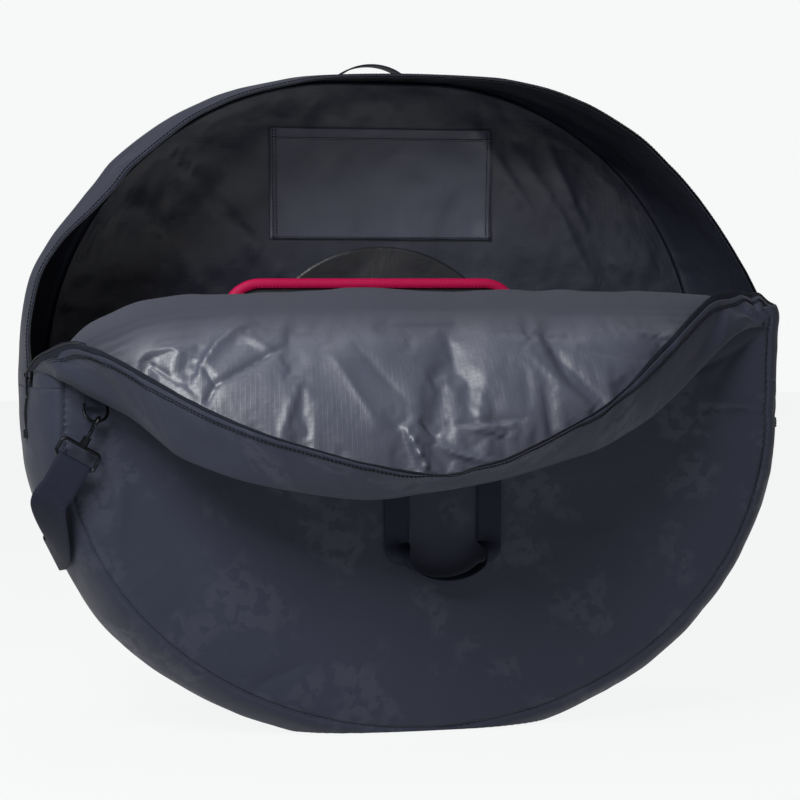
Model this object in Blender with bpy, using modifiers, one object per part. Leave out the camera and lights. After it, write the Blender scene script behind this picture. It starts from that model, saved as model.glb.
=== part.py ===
"""A soft bag for two bicycle wheels. It stands upright on its base, unzipped, with its front flap folded down.

Metres. +X is to the right as seen from the front, -Y is the front and +Z is up. The origin is the middle of the base.
The walls are layers, from the outside in: outer fabric, foam and lining. The flap is modelled shut, in the plane of
the front panel, and its empty turns it open about the fold.
"""

import math

import bmesh
import bpy
from mathutils import Matrix, Vector

# Seam line where each panel meets the gusset: half an ellipse below, two quarter circles and a short flat above
FLAT_HALF = 0.048
SHOULDER_RADIUS = 0.352
HALF_WIDTH = FLAT_HALF + SHOULDER_RADIUS
WAIST_HEIGHT = 0.345
SEAM_FOOT = 0.003
BELLY_DROP = WAIST_HEIGHT - SEAM_FOOT
SIDE_STRAIGHT = 0.040
SHOULDER_HEIGHT = WAIST_HEIGHT + SIDE_STRAIGHT
DEPTH = 0.240
BULGE = 0.032
CROWN_BULGE_SHARE = 0.2

# Layers of the walls
GAP = 0.0003
LAYER_EASE = 0.0006
FABRIC = 0.0012
FOAM = 0.006
LINING = 0.0010
WEBBING = 0.0018

# Fold, flap and zip
FOLD_RISE = 0.090
FOLD_HEIGHT = SHOULDER_HEIGHT + FOLD_RISE
FOLD_RADIUS = 0.010
FOLD_STANDOFF = 0.0035
FOLD_END_INSET = 0.014
OPEN_ANGLE = math.radians(150)
BAND_WIDTH = 0.062
BAND_FLARE = 0.009
BAND_TUCK = 0.040
BAND_ROOT = 0.009
TAPE_WIDTH = 0.010
TAPE = 0.0008
COIL_RADIUS = 0.0011
COIL_INSET = 0.0012

# Slider, puller and pull cord
SLIDER_LENGTH = 0.014
SLIDER_WIDTH = 0.011
SLIDER_PLATE = 0.0012
SLIDER_SLOT = 0.0046
SLIDER_EASE = 0.0005
SLIDER_POST = 0.0016
SLIDER_START = math.radians(2.0)
BAIL_RISE = 0.0064
BAIL_WIRE = 0.0008
BAIL_END_INSET = 0.003
PULLER_WIDTH = 0.0080
PULLER_LENGTH = 0.026
PULLER_WIRE = 0.0011
PULL_CORD_RADIUS = 0.0014
# The pull cord's points below its puller: outwards from the bag, and down
PULL_CORD_POINTS = ((0.0, 0.0), (0.0006, -0.0042), (0.0012, -0.0085), (0.0015, -0.0128), (0.0016, -0.0170),
                    (0.0015, -0.0213), (0.0012, -0.0256), (0.0006, -0.0299), (0.0, -0.0340))
KNOT_RADIUS = 0.0038
KNOT_HEIGHT = 0.0105

# Carry handles
HANDLE_WEBBING = 0.027
HANDLE_SPACING = 0.105
HANDLE_DROP = 0.281
HANDLE_CORNER = 0.040
HANDLE_TWIST_SHARE = 1.6
HANDLE_LEG_SHARES = (0.0, 0.33, 0.66, 1.0)
FRONT_HANDLE_CENTRE = 0.016
BACK_HANDLE_CENTRE = -0.007
FRONT_HANDLE_DROP = 0.023
FRONT_HANDLE_HEIGHT = FOLD_HEIGHT - FRONT_HANDLE_DROP
BACK_HANDLE_RISE = 0.091
BACK_HANDLE_HEIGHT = SHOULDER_HEIGHT + BACK_HANDLE_RISE
ANCHOR_LENGTH = 0.055

# D-ring, snap hook and strap buckle
RING_TAB_WIDTH = 0.020
RING_TAB_LENGTH = 0.045
TAB_FOLD_SHARE = 0.33
RING_INSET = 0.034
RING_CENTRE = HALF_WIDTH - RING_INSET
RING_BAR_DROP = 0.017
RING_BAR_HEIGHT = SHOULDER_HEIGHT - RING_BAR_DROP
RING_WIRE = 0.0018
RING_HALF_WIDTH = 0.0124
RING_STRAIGHT = 0.0080
RING_STANDOFF = 0.0012
RING_TILT = math.radians(30)
HOOK_WIRE = 0.0020
HOOK_EYE_RADIUS = 0.0064
HOOK_EYE_DROP = 0.0010
HOOK_NECK = 0.0125
HOOK_ROD_END = 0.0240
HOOK_TIP_ANGLE = math.radians(-35)
GATE_RADIUS = 0.0014
GATE_FOOT_SIDE = 0.0036
BARREL_TOP = 0.0185
BARREL_RADIUS = 0.0045
BARREL_BORE = 0.0026
BARREL_BORE_DEPTH = 0.0065
CUT_OVERRUN = 0.002
BUCKLE_WIRE = 0.0020
BUCKLE_TOP = 0.0300
BUCKLE_BOTTOM = 0.0490
BUCKLE_HALF_WIDTH = 0.0225
BUCKLE_CORNER = 0.0045
LEFT_SHANK_LEAN = math.radians(30)
RIGHT_SHANK_LEAN = math.radians(28)

# Shoulder strap and its adjuster
STRAP_WIDTH = 0.038
STRAP_TAIL = 0.034
TAIL_FOLD_SHARE = 0.6
STRAP_CLEARANCE = 0.0060
STRAP_BACK_STANDOFF = 0.012
STRAP_SIDE_SHARES = ((0.11, 0.790, 2.6), (0.26, 0.735, 1.7), (0.50, 0.670, 1.0), (0.72, 0.605, 1.7), (0.90, 0.545, 2.6))
STRAP_BACK_SHARES = ((-0.86, 0.470), (-0.66, 0.340), (-0.46, 0.240), (-0.32, 0.215), (-0.18, 0.215), (-0.04, 0.215),
                     (0.10, 0.220), (0.26, 0.270), (0.46, 0.400), (0.64, 0.550), (0.80, 0.700))
ADJUSTER_LENGTH = 0.030
ADJUSTER_RAIL = 0.0040
ADJUSTER_BAR = 0.0018
ADJUSTER_BAR_WIDTH = 0.0050
ADJUSTER_SIDE_GAP = 0.0010

# Divider between the wheels
DIVIDER_CENTRE = -0.035
DIVIDER_HALF_WIDTH = 0.176
DIVIDER_RISE = 0.115
DIVIDER_TOP = SHOULDER_HEIGHT + DIVIDER_RISE
DIVIDER_CORNER = 0.045
DIVIDER_FOAM = 0.006
DIVIDER_BASE_CLEARANCE = 0.0035
BINDING_WIDTH = 0.010
BINDING = 0.0010

# Panels sewn or laid inside
HUB_GUARD_RADIUS = 0.165
HUB_GUARD_DROP = 0.010
HUB_GUARD_HEIGHT = SHOULDER_HEIGHT - HUB_GUARD_DROP
HUB_GUARD_FRONT_RADIUS = 0.078
HUB_GUARD = 0.0015
POCKET_HALF_WIDTH = 0.135
POCKET_RISE = 0.163
POCKET_HEIGHT = 0.132
POCKET_BOTTOM = SHOULDER_HEIGHT + POCKET_RISE
POCKET_TOP = POCKET_BOTTOM + POCKET_HEIGHT
POCKET_CORNER = 0.012
POCKET_HEM = 0.014
BASE_BOARD_HALF_WIDTH = 0.095
BASE_BOARD_HALF_DEPTH = 0.085
BASE_BOARD = 0.0020
SEAM_TAPE_WIDTH = 0.014

# Facets
WELD = 0.00001
SHARP_ANGLE = math.radians(35)
ARC_STEPS = 22
BELLY_STEPS = 34
FRONT_ROWS = 3
REAR_ROWS = 5
WING_STEPS = 4
BEND_STEPS = 8
CORNER_STEPS = 3
ROUND_STEPS = 12
STRAP_STEPS = 4

PANEL_FACE = DEPTH / 2 + GAP + FABRIC
ZIP_Y = -DEPTH / 2 + BAND_WIDTH
GUSSET_STACK = FABRIC + LAYER_EASE + LINING
FOLD_Y = -PANEL_FACE - FOLD_STANDOFF
FOLD_SEAT = math.sqrt((FOLD_RADIUS + GAP) ** 2 - FOLD_STANDOFF ** 2)
PANEL_TOP = FOLD_HEIGHT - FOLD_SEAT
FLAP_FOOT = FOLD_HEIGHT + FOLD_SEAT
MIDDLE = (0.0, 0.0, SHOULDER_HEIGHT)
FOAM_FACE = DEPTH / 2 - GAP - FOAM
LINING_FACE = FOAM_FACE - GAP - LINING

SIDES = ((-1, "left"), (1, "right"))

MATERIALS = {
    "outer_fabric": ((0.030, 0.034, 0.047), 0.75, 0.0),
    "lining_fabric": ((0.085, 0.087, 0.105), 0.32, 0.0),
    "foam": ((0.20, 0.20, 0.21), 0.9, 0.0),
    "webbing": ((0.020, 0.023, 0.031), 0.7, 0.0),
    "crimson_binding": ((0.74, 0.01, 0.08), 0.6, 0.0),
    "zip_tape": ((0.018, 0.020, 0.028), 0.7, 0.0),
    "zip_coil": ((0.012, 0.013, 0.018), 0.4, 0.0),
    "black_metal": ((0.03, 0.03, 0.035), 0.35, 0.9),
    "pull_cord": ((0.015, 0.016, 0.02), 0.8, 0.0),
    "hub_guard": ((0.022, 0.023, 0.028), 0.45, 0.0),
    "pocket_fabric": ((0.11, 0.115, 0.13), 0.5, 0.0),
    "base_board": ((0.03, 0.03, 0.032), 0.5, 0.0),
}


def clear_scene():
    for thing in list(bpy.data.objects):
        bpy.data.objects.remove(thing, do_unlink=True)


def make_material(name):
    colour, roughness, metallic = MATERIALS[name]
    material = bpy.data.materials.new(name)
    material.use_nodes = True
    shader = material.node_tree.nodes["Principled BSDF"]
    shader.inputs["Base Color"].default_value = (*colour, 1.0)
    shader.inputs["Roughness"].default_value = roughness
    shader.inputs["Metallic"].default_value = metallic
    return material


def make_collection(name):
    collection = bpy.data.collections.new(name)
    bpy.context.scene.collection.children.link(collection)
    return collection


def add(name, data, material, pivot=None):
    """Adds an object of this mesh or curve. A pivot is the empty that turns it, and its data stay in bag coordinates."""
    data.materials.append(MATERIAL[material])
    thing = bpy.data.objects.new(name, data)
    BAG.objects.link(thing)
    if pivot is not None:
        thing.parent = pivot
        thing.location = -Vector(pivot["at_rest"])
    return thing


def make_pivot(name, place, turn=0.0, parent=None):
    """An empty on a joint's axis. The pieces under it turn by this angle about X from where they are modelled."""
    pivot = bpy.data.objects.new(name, None)
    BAG.objects.link(pivot)
    pivot["at_rest"] = tuple(place)
    pivot.location = Vector(place)
    if parent is not None:
        pivot.parent = parent
        pivot.location = Vector(place) - Vector(parent["at_rest"])
    pivot.rotation_euler = (turn, 0.0, 0.0)
    return pivot


def grid_shell(name, rows, thickness, material, away_from, keep=None, pivot=None, depth=0.0):
    """A wall of this thickness at a depth under an open grid of points, on the side of the grid next to a point."""
    mesh = bpy.data.meshes.new(name)
    sheet = bmesh.new()
    points = [[sheet.verts.new(point) for point in row] for row in rows]
    for i in range(len(rows) - 1):
        for j in range(len(rows[0]) - 1):
            if keep is None or keep(i, j):
                sheet.faces.new((points[i][j], points[i][j + 1], points[i + 1][j + 1], points[i + 1][j]))
    loose = [vert for vert in sheet.verts if not vert.link_faces]
    bmesh.ops.delete(sheet, geom=loose, context="VERTS")
    sheet.normal_update()
    centre = Vector(away_from)
    outward = sum((face.calc_center_median() - centre).dot(face.normal) * face.calc_area() for face in sheet.faces)
    if outward < 0:
        bmesh.ops.reverse_faces(sheet, faces=sheet.faces)
    sheet.to_mesh(mesh)
    sheet.free()
    mesh.shade_smooth()
    thing = add(name, mesh, material, pivot)
    wall = thing.modifiers.new("wall", "SOLIDIFY")
    wall.thickness = thickness
    wall.offset = -1.0 - 2 * depth / thickness
    return thing


def ribbon(name, centres, across, width, thickness, material, away_from, pivot=None):
    """Flat webbing or tape along a line of points, lying along the across direction at each."""
    left = [centre - direction * (width / 2) for centre, direction in zip(centres, across)]
    right = [centre + direction * (width / 2) for centre, direction in zip(centres, across)]
    thing = grid_shell(name, [left, right], thickness, material, away_from, pivot=pivot)
    thing.modifiers["wall"].offset = 0.0
    return thing


def tube(name, points, radius, material, closed=False, pivot=None, resolution=2):
    curve = bpy.data.curves.new(name, "CURVE")
    curve.dimensions = "3D"
    curve.bevel_depth = radius
    curve.bevel_resolution = resolution
    curve.use_fill_caps = True
    spline = curve.splines.new("POLY")
    spline.points.add(len(points) - 1)
    for slot, point in zip(spline.points, points):
        slot.co = (*point, 1.0)
    spline.use_cyclic_u = closed
    return add(name, curve, material, pivot)


def panel(name, loops, near_y, far_y, material, pivot=None):
    """A flat sheet between two depths, cut to outlines of (x, z); a second outline is a hole."""
    curve = bpy.data.curves.new(name, "CURVE")
    curve.dimensions = "2D"
    curve.fill_mode = "BOTH"
    curve.extrude = abs(far_y - near_y) / 2
    for loop in loops:
        spline = curve.splines.new("POLY")
        spline.points.add(len(loop) - 1)
        for slot, (x, z) in zip(spline.points, loop):
            slot.co = (x, z, 0.0, 1.0)
        spline.use_cyclic_u = True
    thing = add(name, curve, material, pivot)
    thing.rotation_euler = (math.pi / 2, 0.0, 0.0)
    thing.location = Vector(thing.location) + Vector((0.0, (near_y + far_y) / 2, 0.0))
    return thing


def box(name, low, high, material, pivot=None):
    mesh = bpy.data.meshes.new(name)
    cube = bmesh.new()
    bmesh.ops.create_cube(cube, size=1.0)
    size = Vector(high) - Vector(low)
    bmesh.ops.scale(cube, vec=size, verts=cube.verts)
    bmesh.ops.translate(cube, vec=(Vector(low) + Vector(high)) / 2, verts=cube.verts)
    cube.to_mesh(mesh)
    cube.free()
    return add(name, mesh, material, pivot)


def as_mesh(thing):
    """Turns a curve, or a mesh with its modifiers, into a plain mesh object with welded caps."""
    bpy.context.view_layer.update()
    evaluated = thing.evaluated_get(bpy.context.evaluated_depsgraph_get())
    mesh = bpy.data.meshes.new_from_object(evaluated)
    solid = bmesh.new()
    solid.from_mesh(mesh)
    bmesh.ops.remove_doubles(solid, verts=solid.verts, dist=WELD)
    solid.to_mesh(mesh)
    solid.free()
    mesh.shade_smooth()
    mesh.set_sharp_from_angle(angle=SHARP_ANGLE)
    name = thing.name
    place = thing.matrix_world.copy()
    parent = thing.parent
    local = thing.matrix_local.copy()
    bpy.data.objects.remove(thing, do_unlink=True)
    plain = bpy.data.objects.new(name, mesh)
    BAG.objects.link(plain)
    plain.parent = parent
    plain.matrix_local = local if parent is not None else place
    return plain


def combine(thing, tool, operation):
    """Cuts or joins a mesh object with another one, which goes to the cutters."""
    BAG.objects.unlink(tool)
    CUTTERS.objects.link(tool)
    tool.hide_render = True
    tool.display_type = "WIRE"
    cut = thing.modifiers.new(operation.lower(), "BOOLEAN")
    cut.object = tool
    cut.operation = operation
    cut.solver = "EXACT"
    return thing


def turned(name, profile, material, place, axis, steps, pivot=None):
    """A solid of revolution. The profile is (radius, height) from its top to its foot, about an axis through a place."""
    mesh = bpy.data.meshes.new(name)
    line = bmesh.new()
    verts = [line.verts.new((radius, 0.0, height)) for radius, height in profile]
    for first, second in zip(verts, verts[1:]):
        line.edges.new((first, second))
    turn = Vector((0.0, 0.0, 1.0)).rotation_difference(Vector(axis)).to_matrix().to_4x4()
    line.to_mesh(mesh)
    line.free()
    thing = add(name, mesh, material, pivot)
    shift = Matrix.Translation(Vector(place) + Vector(thing.location))
    thing.matrix_local = shift @ turn
    screw = thing.modifiers.new("turn", "SCREW")
    screw.axis = "Z"
    screw.angle = 2 * math.pi
    screw.steps = steps
    screw.render_steps = steps
    screw.use_merge_vertices = True
    screw.merge_threshold = WELD
    return thing


def spread(start, end, count):
    return [start + (end - start) * i / count for i in range(count + 1)]


def shoulder(side, angle, bulge=0.0, inward=0.0):
    """A point of the quarter circle at the left (side -1) or right (1), by its angle above the horizontal."""
    radius = SHOULDER_RADIUS + CROWN_BULGE_SHARE * bulge - inward
    flat = FLAT_HALF + (1.0 - CROWN_BULGE_SHARE) * bulge
    return (side * (flat + radius * math.cos(angle)), SHOULDER_HEIGHT + radius * math.sin(angle))


def crown(start, bulge=0.0, inward=0.0):
    """The top of the outline from the right side over to the left, from this angle above the horizontal."""
    angles = spread(start, math.pi / 2, ARC_STEPS)
    right = [shoulder(1, angle, bulge, inward) for angle in angles]
    left = [shoulder(-1, angle, bulge, inward) for angle in reversed(angles)]
    return right + left


def belly(bulge=0.0, inward=0.0):
    """The lower outline from the left shoulder down and round to the right one, flat where it would pass the floor."""
    out = bulge - inward
    points = [(-(HALF_WIDTH + out), SHOULDER_HEIGHT)]
    for angle in spread(math.pi, 2 * math.pi, BELLY_STEPS):
        height = WAIST_HEIGHT + (BELLY_DROP + out) * math.sin(angle)
        points.append(((HALF_WIDTH + out) * math.cos(angle), max(height, 0.0)))
    points.append((HALF_WIDTH + out, SHOULDER_HEIGHT))
    return points


def angle_at(height, inward=0.0):
    """The angle above the horizontal at which the shoulder circle reaches a height."""
    return math.asin((height - SHOULDER_HEIGHT) / (SHOULDER_RADIUS - inward))


def turn_at(y):
    """The station across the gusset at a depth, from the front seam (0) to the back seam (pi)."""
    return math.acos(-y / (DEPTH / 2))


def profile_turns():
    """Stations of the rows: up to the front zip tape, and from the rear one to the back seam."""
    front = spread(0.0, turn_at(ZIP_Y - TAPE_WIDTH), FRONT_ROWS)
    return front + spread(turn_at(ZIP_Y + TAPE_WIDTH), math.pi, REAR_ROWS)


def gusset_profile():
    """The gusset's section as (y, bulge): a shallow half ellipse."""
    return [(-DEPTH / 2 * math.cos(turn), BULGE * math.sin(turn)) for turn in profile_turns()]


def oval(inward):
    return crown(0.0, inward=inward)[:-1] + belly(inward=inward)[:-1]


def lower_oval(inward, top):
    """The outline of the front panel below the fold."""
    angle = angle_at(top, inward)
    rise = spread(0.0, angle, FRONT_ROWS)[1:]
    right = [shoulder(1, turn, inward=inward) for turn in rise]
    left = [shoulder(-1, turn, inward=inward) for turn in reversed(rise)]
    return left + belly(inward=inward) + right


def build_back_panel():
    panel("back_panel_shell", [oval(0.0)], DEPTH / 2 + GAP, PANEL_FACE, "outer_fabric")
    panel("back_panel_foam", [oval(GUSSET_STACK + GAP)], FOAM_FACE, FOAM_FACE + FOAM, "foam")
    panel("back_panel_lining", [oval(GUSSET_STACK + GAP)], LINING_FACE, LINING_FACE + LINING, "lining_fabric")


def build_front_panel():
    top = PANEL_TOP
    panel("front_panel_shell", [lower_oval(0.0, top)], -PANEL_FACE, -DEPTH / 2 - GAP, "outer_fabric")
    inner = GUSSET_STACK + GAP
    panel("front_panel_foam", [lower_oval(inner, top)], -FOAM_FACE - FOAM, -FOAM_FACE, "foam")
    panel("front_panel_lining", [lower_oval(inner, top)], -LINING_FACE - LINING, -LINING_FACE, "lining_fabric")


def gusset_rows(wing_top):
    """Rows from front to back of the gusset's lower part, with the two wings that rise to the fold in front of the zip."""
    rows = []
    rise = spread(0.0, angle_at(wing_top), WING_STEPS)[1:]
    for y, bulge in gusset_profile():
        line = [shoulder(-1, turn, bulge) for turn in reversed(rise)]
        line += belly(bulge)
        line += [shoulder(1, turn, bulge) for turn in rise]
        rows.append([Vector((x, y, z)) for x, z in line])
    return rows


def build_lower_gusset():
    columns = BELLY_STEPS + 3 + 2 * WING_STEPS

    def keep(i, j):
        return i < FRONT_ROWS or WING_STEPS <= j < columns - 1 - WING_STEPS

    rows = gusset_rows(PANEL_TOP)
    grid_shell("lower_gusset_shell", rows, FABRIC, "outer_fabric", MIDDLE, keep)
    grid_shell("lower_gusset_lining", rows, LINING, "lining_fabric", MIDDLE, keep, depth=FABRIC + LAYER_EASE)


def rear_rows():
    """Rows of the strip behind the zip, over the crown, from the zip tape back to the seam."""
    start = GAP / SHOULDER_RADIUS
    rows = []
    for y, bulge in gusset_profile()[FRONT_ROWS + 1:]:
        rows.append([Vector((x, y, z)) for x, z in crown(start, bulge)])
    return rows


def build_rear_gusset():
    grid_shell("rear_gusset_shell", rear_rows(), FABRIC, "outer_fabric", MIDDLE)
    grid_shell("rear_gusset_lining", rear_rows(), LINING, "lining_fabric", MIDDLE, depth=FABRIC + LAYER_EASE)


def zip_bulge(y):
    return BULGE * math.sqrt(1.0 - (y / (DEPTH / 2)) ** 2)


def build_zip():
    """The zip's tapes on the bag itself: all of the rear one, and the front one as far as the fold at each side."""
    start = GAP / SHOULDER_RADIUS
    bulge = zip_bulge(ZIP_Y)
    rows = []
    for y in (ZIP_Y + COIL_INSET, ZIP_Y + TAPE_WIDTH - GAP):
        rows.append([Vector((x, y, z)) for x, z in crown(start, bulge)])
    grid_shell("zip_tape_rear", rows, TAPE, "zip_tape", MIDDLE)
    y = ZIP_Y + COIL_INSET + COIL_RADIUS
    line = crown(start, bulge, TAPE + GAP + COIL_RADIUS)
    tube("zip_coil_rear", [Vector((x, y, z)) for x, z in line], COIL_RADIUS, "zip_coil")
    top = angle_at(PANEL_TOP)
    for side, label in SIDES:
        rows = []
        for y in (ZIP_Y - COIL_INSET, ZIP_Y - TAPE_WIDTH + GAP):
            line = [shoulder(side, turn, bulge) for turn in spread(start, top, WING_STEPS)]
            rows.append([Vector((x, y, z)) for x, z in line])
        grid_shell("zip_tape_front_" + label, rows, TAPE, "zip_tape", MIDDLE)


def band_rows(reaches, inward=0.0):
    """Rows across the flap's gusset strip, shut, by their distance from the seam. The strip stands square to the flap
    for its root, and then leans in over the lining towards the fold's two ends."""
    start = angle_at(FLAP_FOOT)
    angles = spread(start, math.pi / 2, ARC_STEPS)
    stations = [(1, angle) for angle in angles] + [(-1, angle) for angle in reversed(angles)]
    rows = []
    for reach in reaches:
        row = []
        for side, angle in stations:
            lean = math.cos(angle) ** 2
            edge = (BAND_FLARE * (1.0 - lean) - BAND_TUCK * lean) / (BAND_WIDTH - BAND_ROOT)
            rise = math.sqrt(1.0 - edge ** 2)
            leaning = max(0.0, reach - BAND_ROOT)
            x, z = shoulder(side, angle, inward=inward * rise - edge * leaning)
            row.append(Vector((x, -DEPTH / 2 + min(reach, BAND_ROOT) + leaning * rise + inward * edge, z)))
        rows.append(row)
    return rows


def build_flap():
    hinge = (0.0, FOLD_Y, FOLD_HEIGHT)
    flap = make_pivot("flap_pivot", hinge, OPEN_ANGLE)
    inner = GUSSET_STACK + GAP
    panel("flap_shell", [crown(angle_at(FLAP_FOOT))], -PANEL_FACE, -DEPTH / 2 - GAP, "outer_fabric", flap)
    inside = crown(angle_at(FLAP_FOOT, inner), inward=inner)
    panel("flap_foam", [inside], -FOAM_FACE - FOAM, -FOAM_FACE, "foam", flap)
    panel("flap_lining", [inside], -LINING_FACE - LINING, -LINING_FACE, "lining_fabric", flap)
    reaches = [0.0] + spread(BAND_ROOT, BAND_WIDTH - TAPE_WIDTH, 2)
    front = (0.0, -DEPTH / 2, FOLD_HEIGHT)
    rows = band_rows(reaches)
    grid_shell("flap_band_shell", rows, FABRIC, "outer_fabric", front, pivot=flap)
    grid_shell("flap_band_lining", rows, LINING, "lining_fabric", front, pivot=flap, depth=FABRIC + LAYER_EASE)
    tape = [BAND_WIDTH - TAPE_WIDTH + GAP, BAND_WIDTH]
    grid_shell("zip_tape_flap", band_rows(tape), TAPE, "zip_tape", front, pivot=flap)
    coil = band_rows([BAND_WIDTH - COIL_RADIUS], TAPE + LAYER_EASE + COIL_RADIUS)[0]
    tube("zip_coil_flap", coil, COIL_RADIUS, "zip_coil", pivot=flap)


def build_fold():
    """The unpadded fold of the panel, a soft roll on the flap's axis."""
    half = shoulder(1, angle_at(FOLD_HEIGHT))[0] - FOLD_END_INSET
    tube("flap_fold_roll", [(-half, FOLD_Y, FOLD_HEIGHT), (half, FOLD_Y, FOLD_HEIGHT)], FOLD_RADIUS,
         "lining_fabric", resolution=6)


def build_slider(label, side):
    """A zip slider at the foot of the opening, with its puller, cord and knot. It travels on the rear tape's arc."""
    bulge = zip_bulge(ZIP_Y)
    radius = SHOULDER_RADIUS + CROWN_BULGE_SHARE * bulge
    centre_x = side * (FLAT_HALF + (1.0 - CROWN_BULGE_SHARE) * bulge)
    travel = make_pivot("slider_pivot_" + label, (centre_x, ZIP_Y, SHOULDER_HEIGHT))
    face = radius + SLIDER_EASE + SLIDER_PLATE
    low = (face - 2 * SLIDER_PLATE - SLIDER_SLOT, ZIP_Y - SLIDER_WIDTH / 2, -SLIDER_LENGTH / 2)
    high = (face, ZIP_Y + SLIDER_WIDTH / 2, SLIDER_LENGTH / 2)
    body = box("zip_slider_" + label, low, high, "black_metal")
    for hand in (-1, 1):
        slot_low = (face - SLIDER_PLATE - SLIDER_SLOT, ZIP_Y + hand * SLIDER_POST / 2, -SLIDER_LENGTH)
        slot_high = (face - SLIDER_PLATE, ZIP_Y + hand * SLIDER_WIDTH, SLIDER_LENGTH)
        low_y, high_y = sorted((slot_low[1], slot_high[1]))
        slot = box("slot", (slot_low[0], low_y, slot_low[2]), (slot_high[0], high_y, slot_high[2]), "black_metal")
        combine(body, slot, "DIFFERENCE")
    arch = []
    reach = SLIDER_LENGTH / 2 - BAIL_END_INSET
    for turn in spread(0.0, math.pi, BEND_STEPS):
        arch.append((face - SLIDER_PLATE / 2 + BAIL_RISE * math.sin(turn), ZIP_Y, reach * math.cos(turn)))
    bail = as_mesh(tube("bail", arch, BAIL_WIRE, "black_metal"))
    combine(body, bail, "UNION")
    body = as_mesh(body)
    ride = Matrix.Rotation(-SLIDER_START, 4, "Y")
    if side < 0:
        ride = Matrix.Rotation(math.pi, 4, "Z") @ ride
        ride = Matrix.Translation((0.0, 2 * ZIP_Y, 0.0)) @ ride
    body.parent = travel
    body.matrix_local = Matrix.Translation((0.0, -ZIP_Y, 0.0)) @ ride
    grip = Vector((face + BAIL_RISE - SLIDER_PLATE / 2 - BAIL_WIRE - PULLER_WIRE - GAP, ZIP_Y, 0.0))
    grip = ride @ grip + Vector((centre_x, 0.0, SHOULDER_HEIGHT))
    build_puller(label, side, grip, travel)


def build_puller(label, side, grip, travel):
    swing = make_pivot("puller_pivot_" + label, grip, parent=travel)
    half = PULLER_WIDTH / 2 - PULLER_WIRE
    loop = []
    for turn in spread(0.0, math.pi, BEND_STEPS):
        loop.append(grip + Vector((0.0, half * math.cos(turn), half * math.sin(turn) - half)))
    for turn in spread(math.pi, 2 * math.pi, BEND_STEPS):
        drop = PULLER_LENGTH - 2 * PULLER_WIRE - half
        loop.append(grip + Vector((0.0, half * math.cos(turn), half * math.sin(turn) - drop)))
    tube("zip_puller_" + label, loop, PULLER_WIRE, "black_metal", closed=True, pivot=swing)
    top = grip - Vector((0.0, 0.0, PULLER_LENGTH - PULLER_WIRE + GAP))
    route = [top + Vector((side * out, 0.0, down)) for out, down in PULL_CORD_POINTS]
    tube("pull_cord_" + label, route, PULL_CORD_RADIUS, "pull_cord", pivot=swing)
    foot = route[-1] - Vector((0.0, 0.0, GAP))
    profile = []
    for turn in spread(0.0, math.pi, BEND_STEPS):
        profile.append((KNOT_RADIUS * math.sin(turn), KNOT_HEIGHT / 2 * (math.cos(turn) - 1.0)))
    profile[0] = (0.0, 0.0)
    profile[-1] = (0.0, -KNOT_HEIGHT)
    turned("pull_knot_" + label, profile, "pull_cord", foot, (0.0, 0.0, 1.0), ROUND_STEPS, swing)


def handle_path(centre_x, y, top, drop, sign, outward):
    """The middle line of a webbing handle and the direction of its width, which turns to stand out along the bow."""
    half = HANDLE_SPACING / 2
    straight = drop - HANDLE_CORNER
    middle = []
    across = []
    for share in HANDLE_LEG_SHARES:
        middle.append(Vector((centre_x - half, y, top + sign * straight * share)))
        across.append(Vector((1.0, 0.0, 0.0)))
    for turn in spread(math.pi, 0.0, 2 * BEND_STEPS)[1:-1]:
        twist = min(1.0, HANDLE_TWIST_SHARE * math.sin(turn)) * math.pi / 2
        lift = outward * HANDLE_WEBBING / 2 * math.sin(twist)
        x = centre_x + half * math.cos(turn)
        middle.append(Vector((x, y + lift, top + sign * (straight + HANDLE_CORNER * math.sin(turn)))))
        hand = 1.0 if turn > math.pi / 2 else -1.0
        across.append(Vector((hand * math.cos(twist), outward * math.sin(twist), 0.0)))
    for share in reversed(HANDLE_LEG_SHARES):
        middle.append(Vector((centre_x + half, y, top + sign * straight * share)))
        across.append(Vector((-1.0, 0.0, 0.0)))
    return middle, across


def build_handle(label, centre_x, height, sign, outward):
    """A webbing carry handle and the two sewn ends that hold it. Sign is 1 where it stands up and -1 where it hangs."""
    patch_y = outward * (PANEL_FACE + GAP + WEBBING / 2)
    loop_y = outward * (PANEL_FACE + 2 * GAP + 3 * WEBBING / 2)
    pivot = make_pivot(label + "_handle_pivot", (centre_x, loop_y, height))
    middle, across = handle_path(centre_x, loop_y, height, HANDLE_DROP, sign, outward)
    half = HANDLE_SPACING / 2
    far = (centre_x, outward * -DEPTH, height)
    ribbon(label + "_handle", middle, across, HANDLE_WEBBING, WEBBING, "webbing", far, pivot)
    for hand, name in SIDES:
        x = centre_x + hand * half
        ends = [Vector((x, patch_y, height)), Vector((x, patch_y, height - ANCHOR_LENGTH))]
        ribbon(label + "_handle_anchor_" + name, ends, [Vector((1.0, 0.0, 0.0))] * 2, HANDLE_WEBBING, WEBBING,
               "webbing", far)


def placed(points, turn):
    """Points in the left front corner's coordinates, turned about the bag's upright axis."""
    return [Matrix.Rotation(turn, 3, "Z") @ Vector(point) for point in points]


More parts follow.
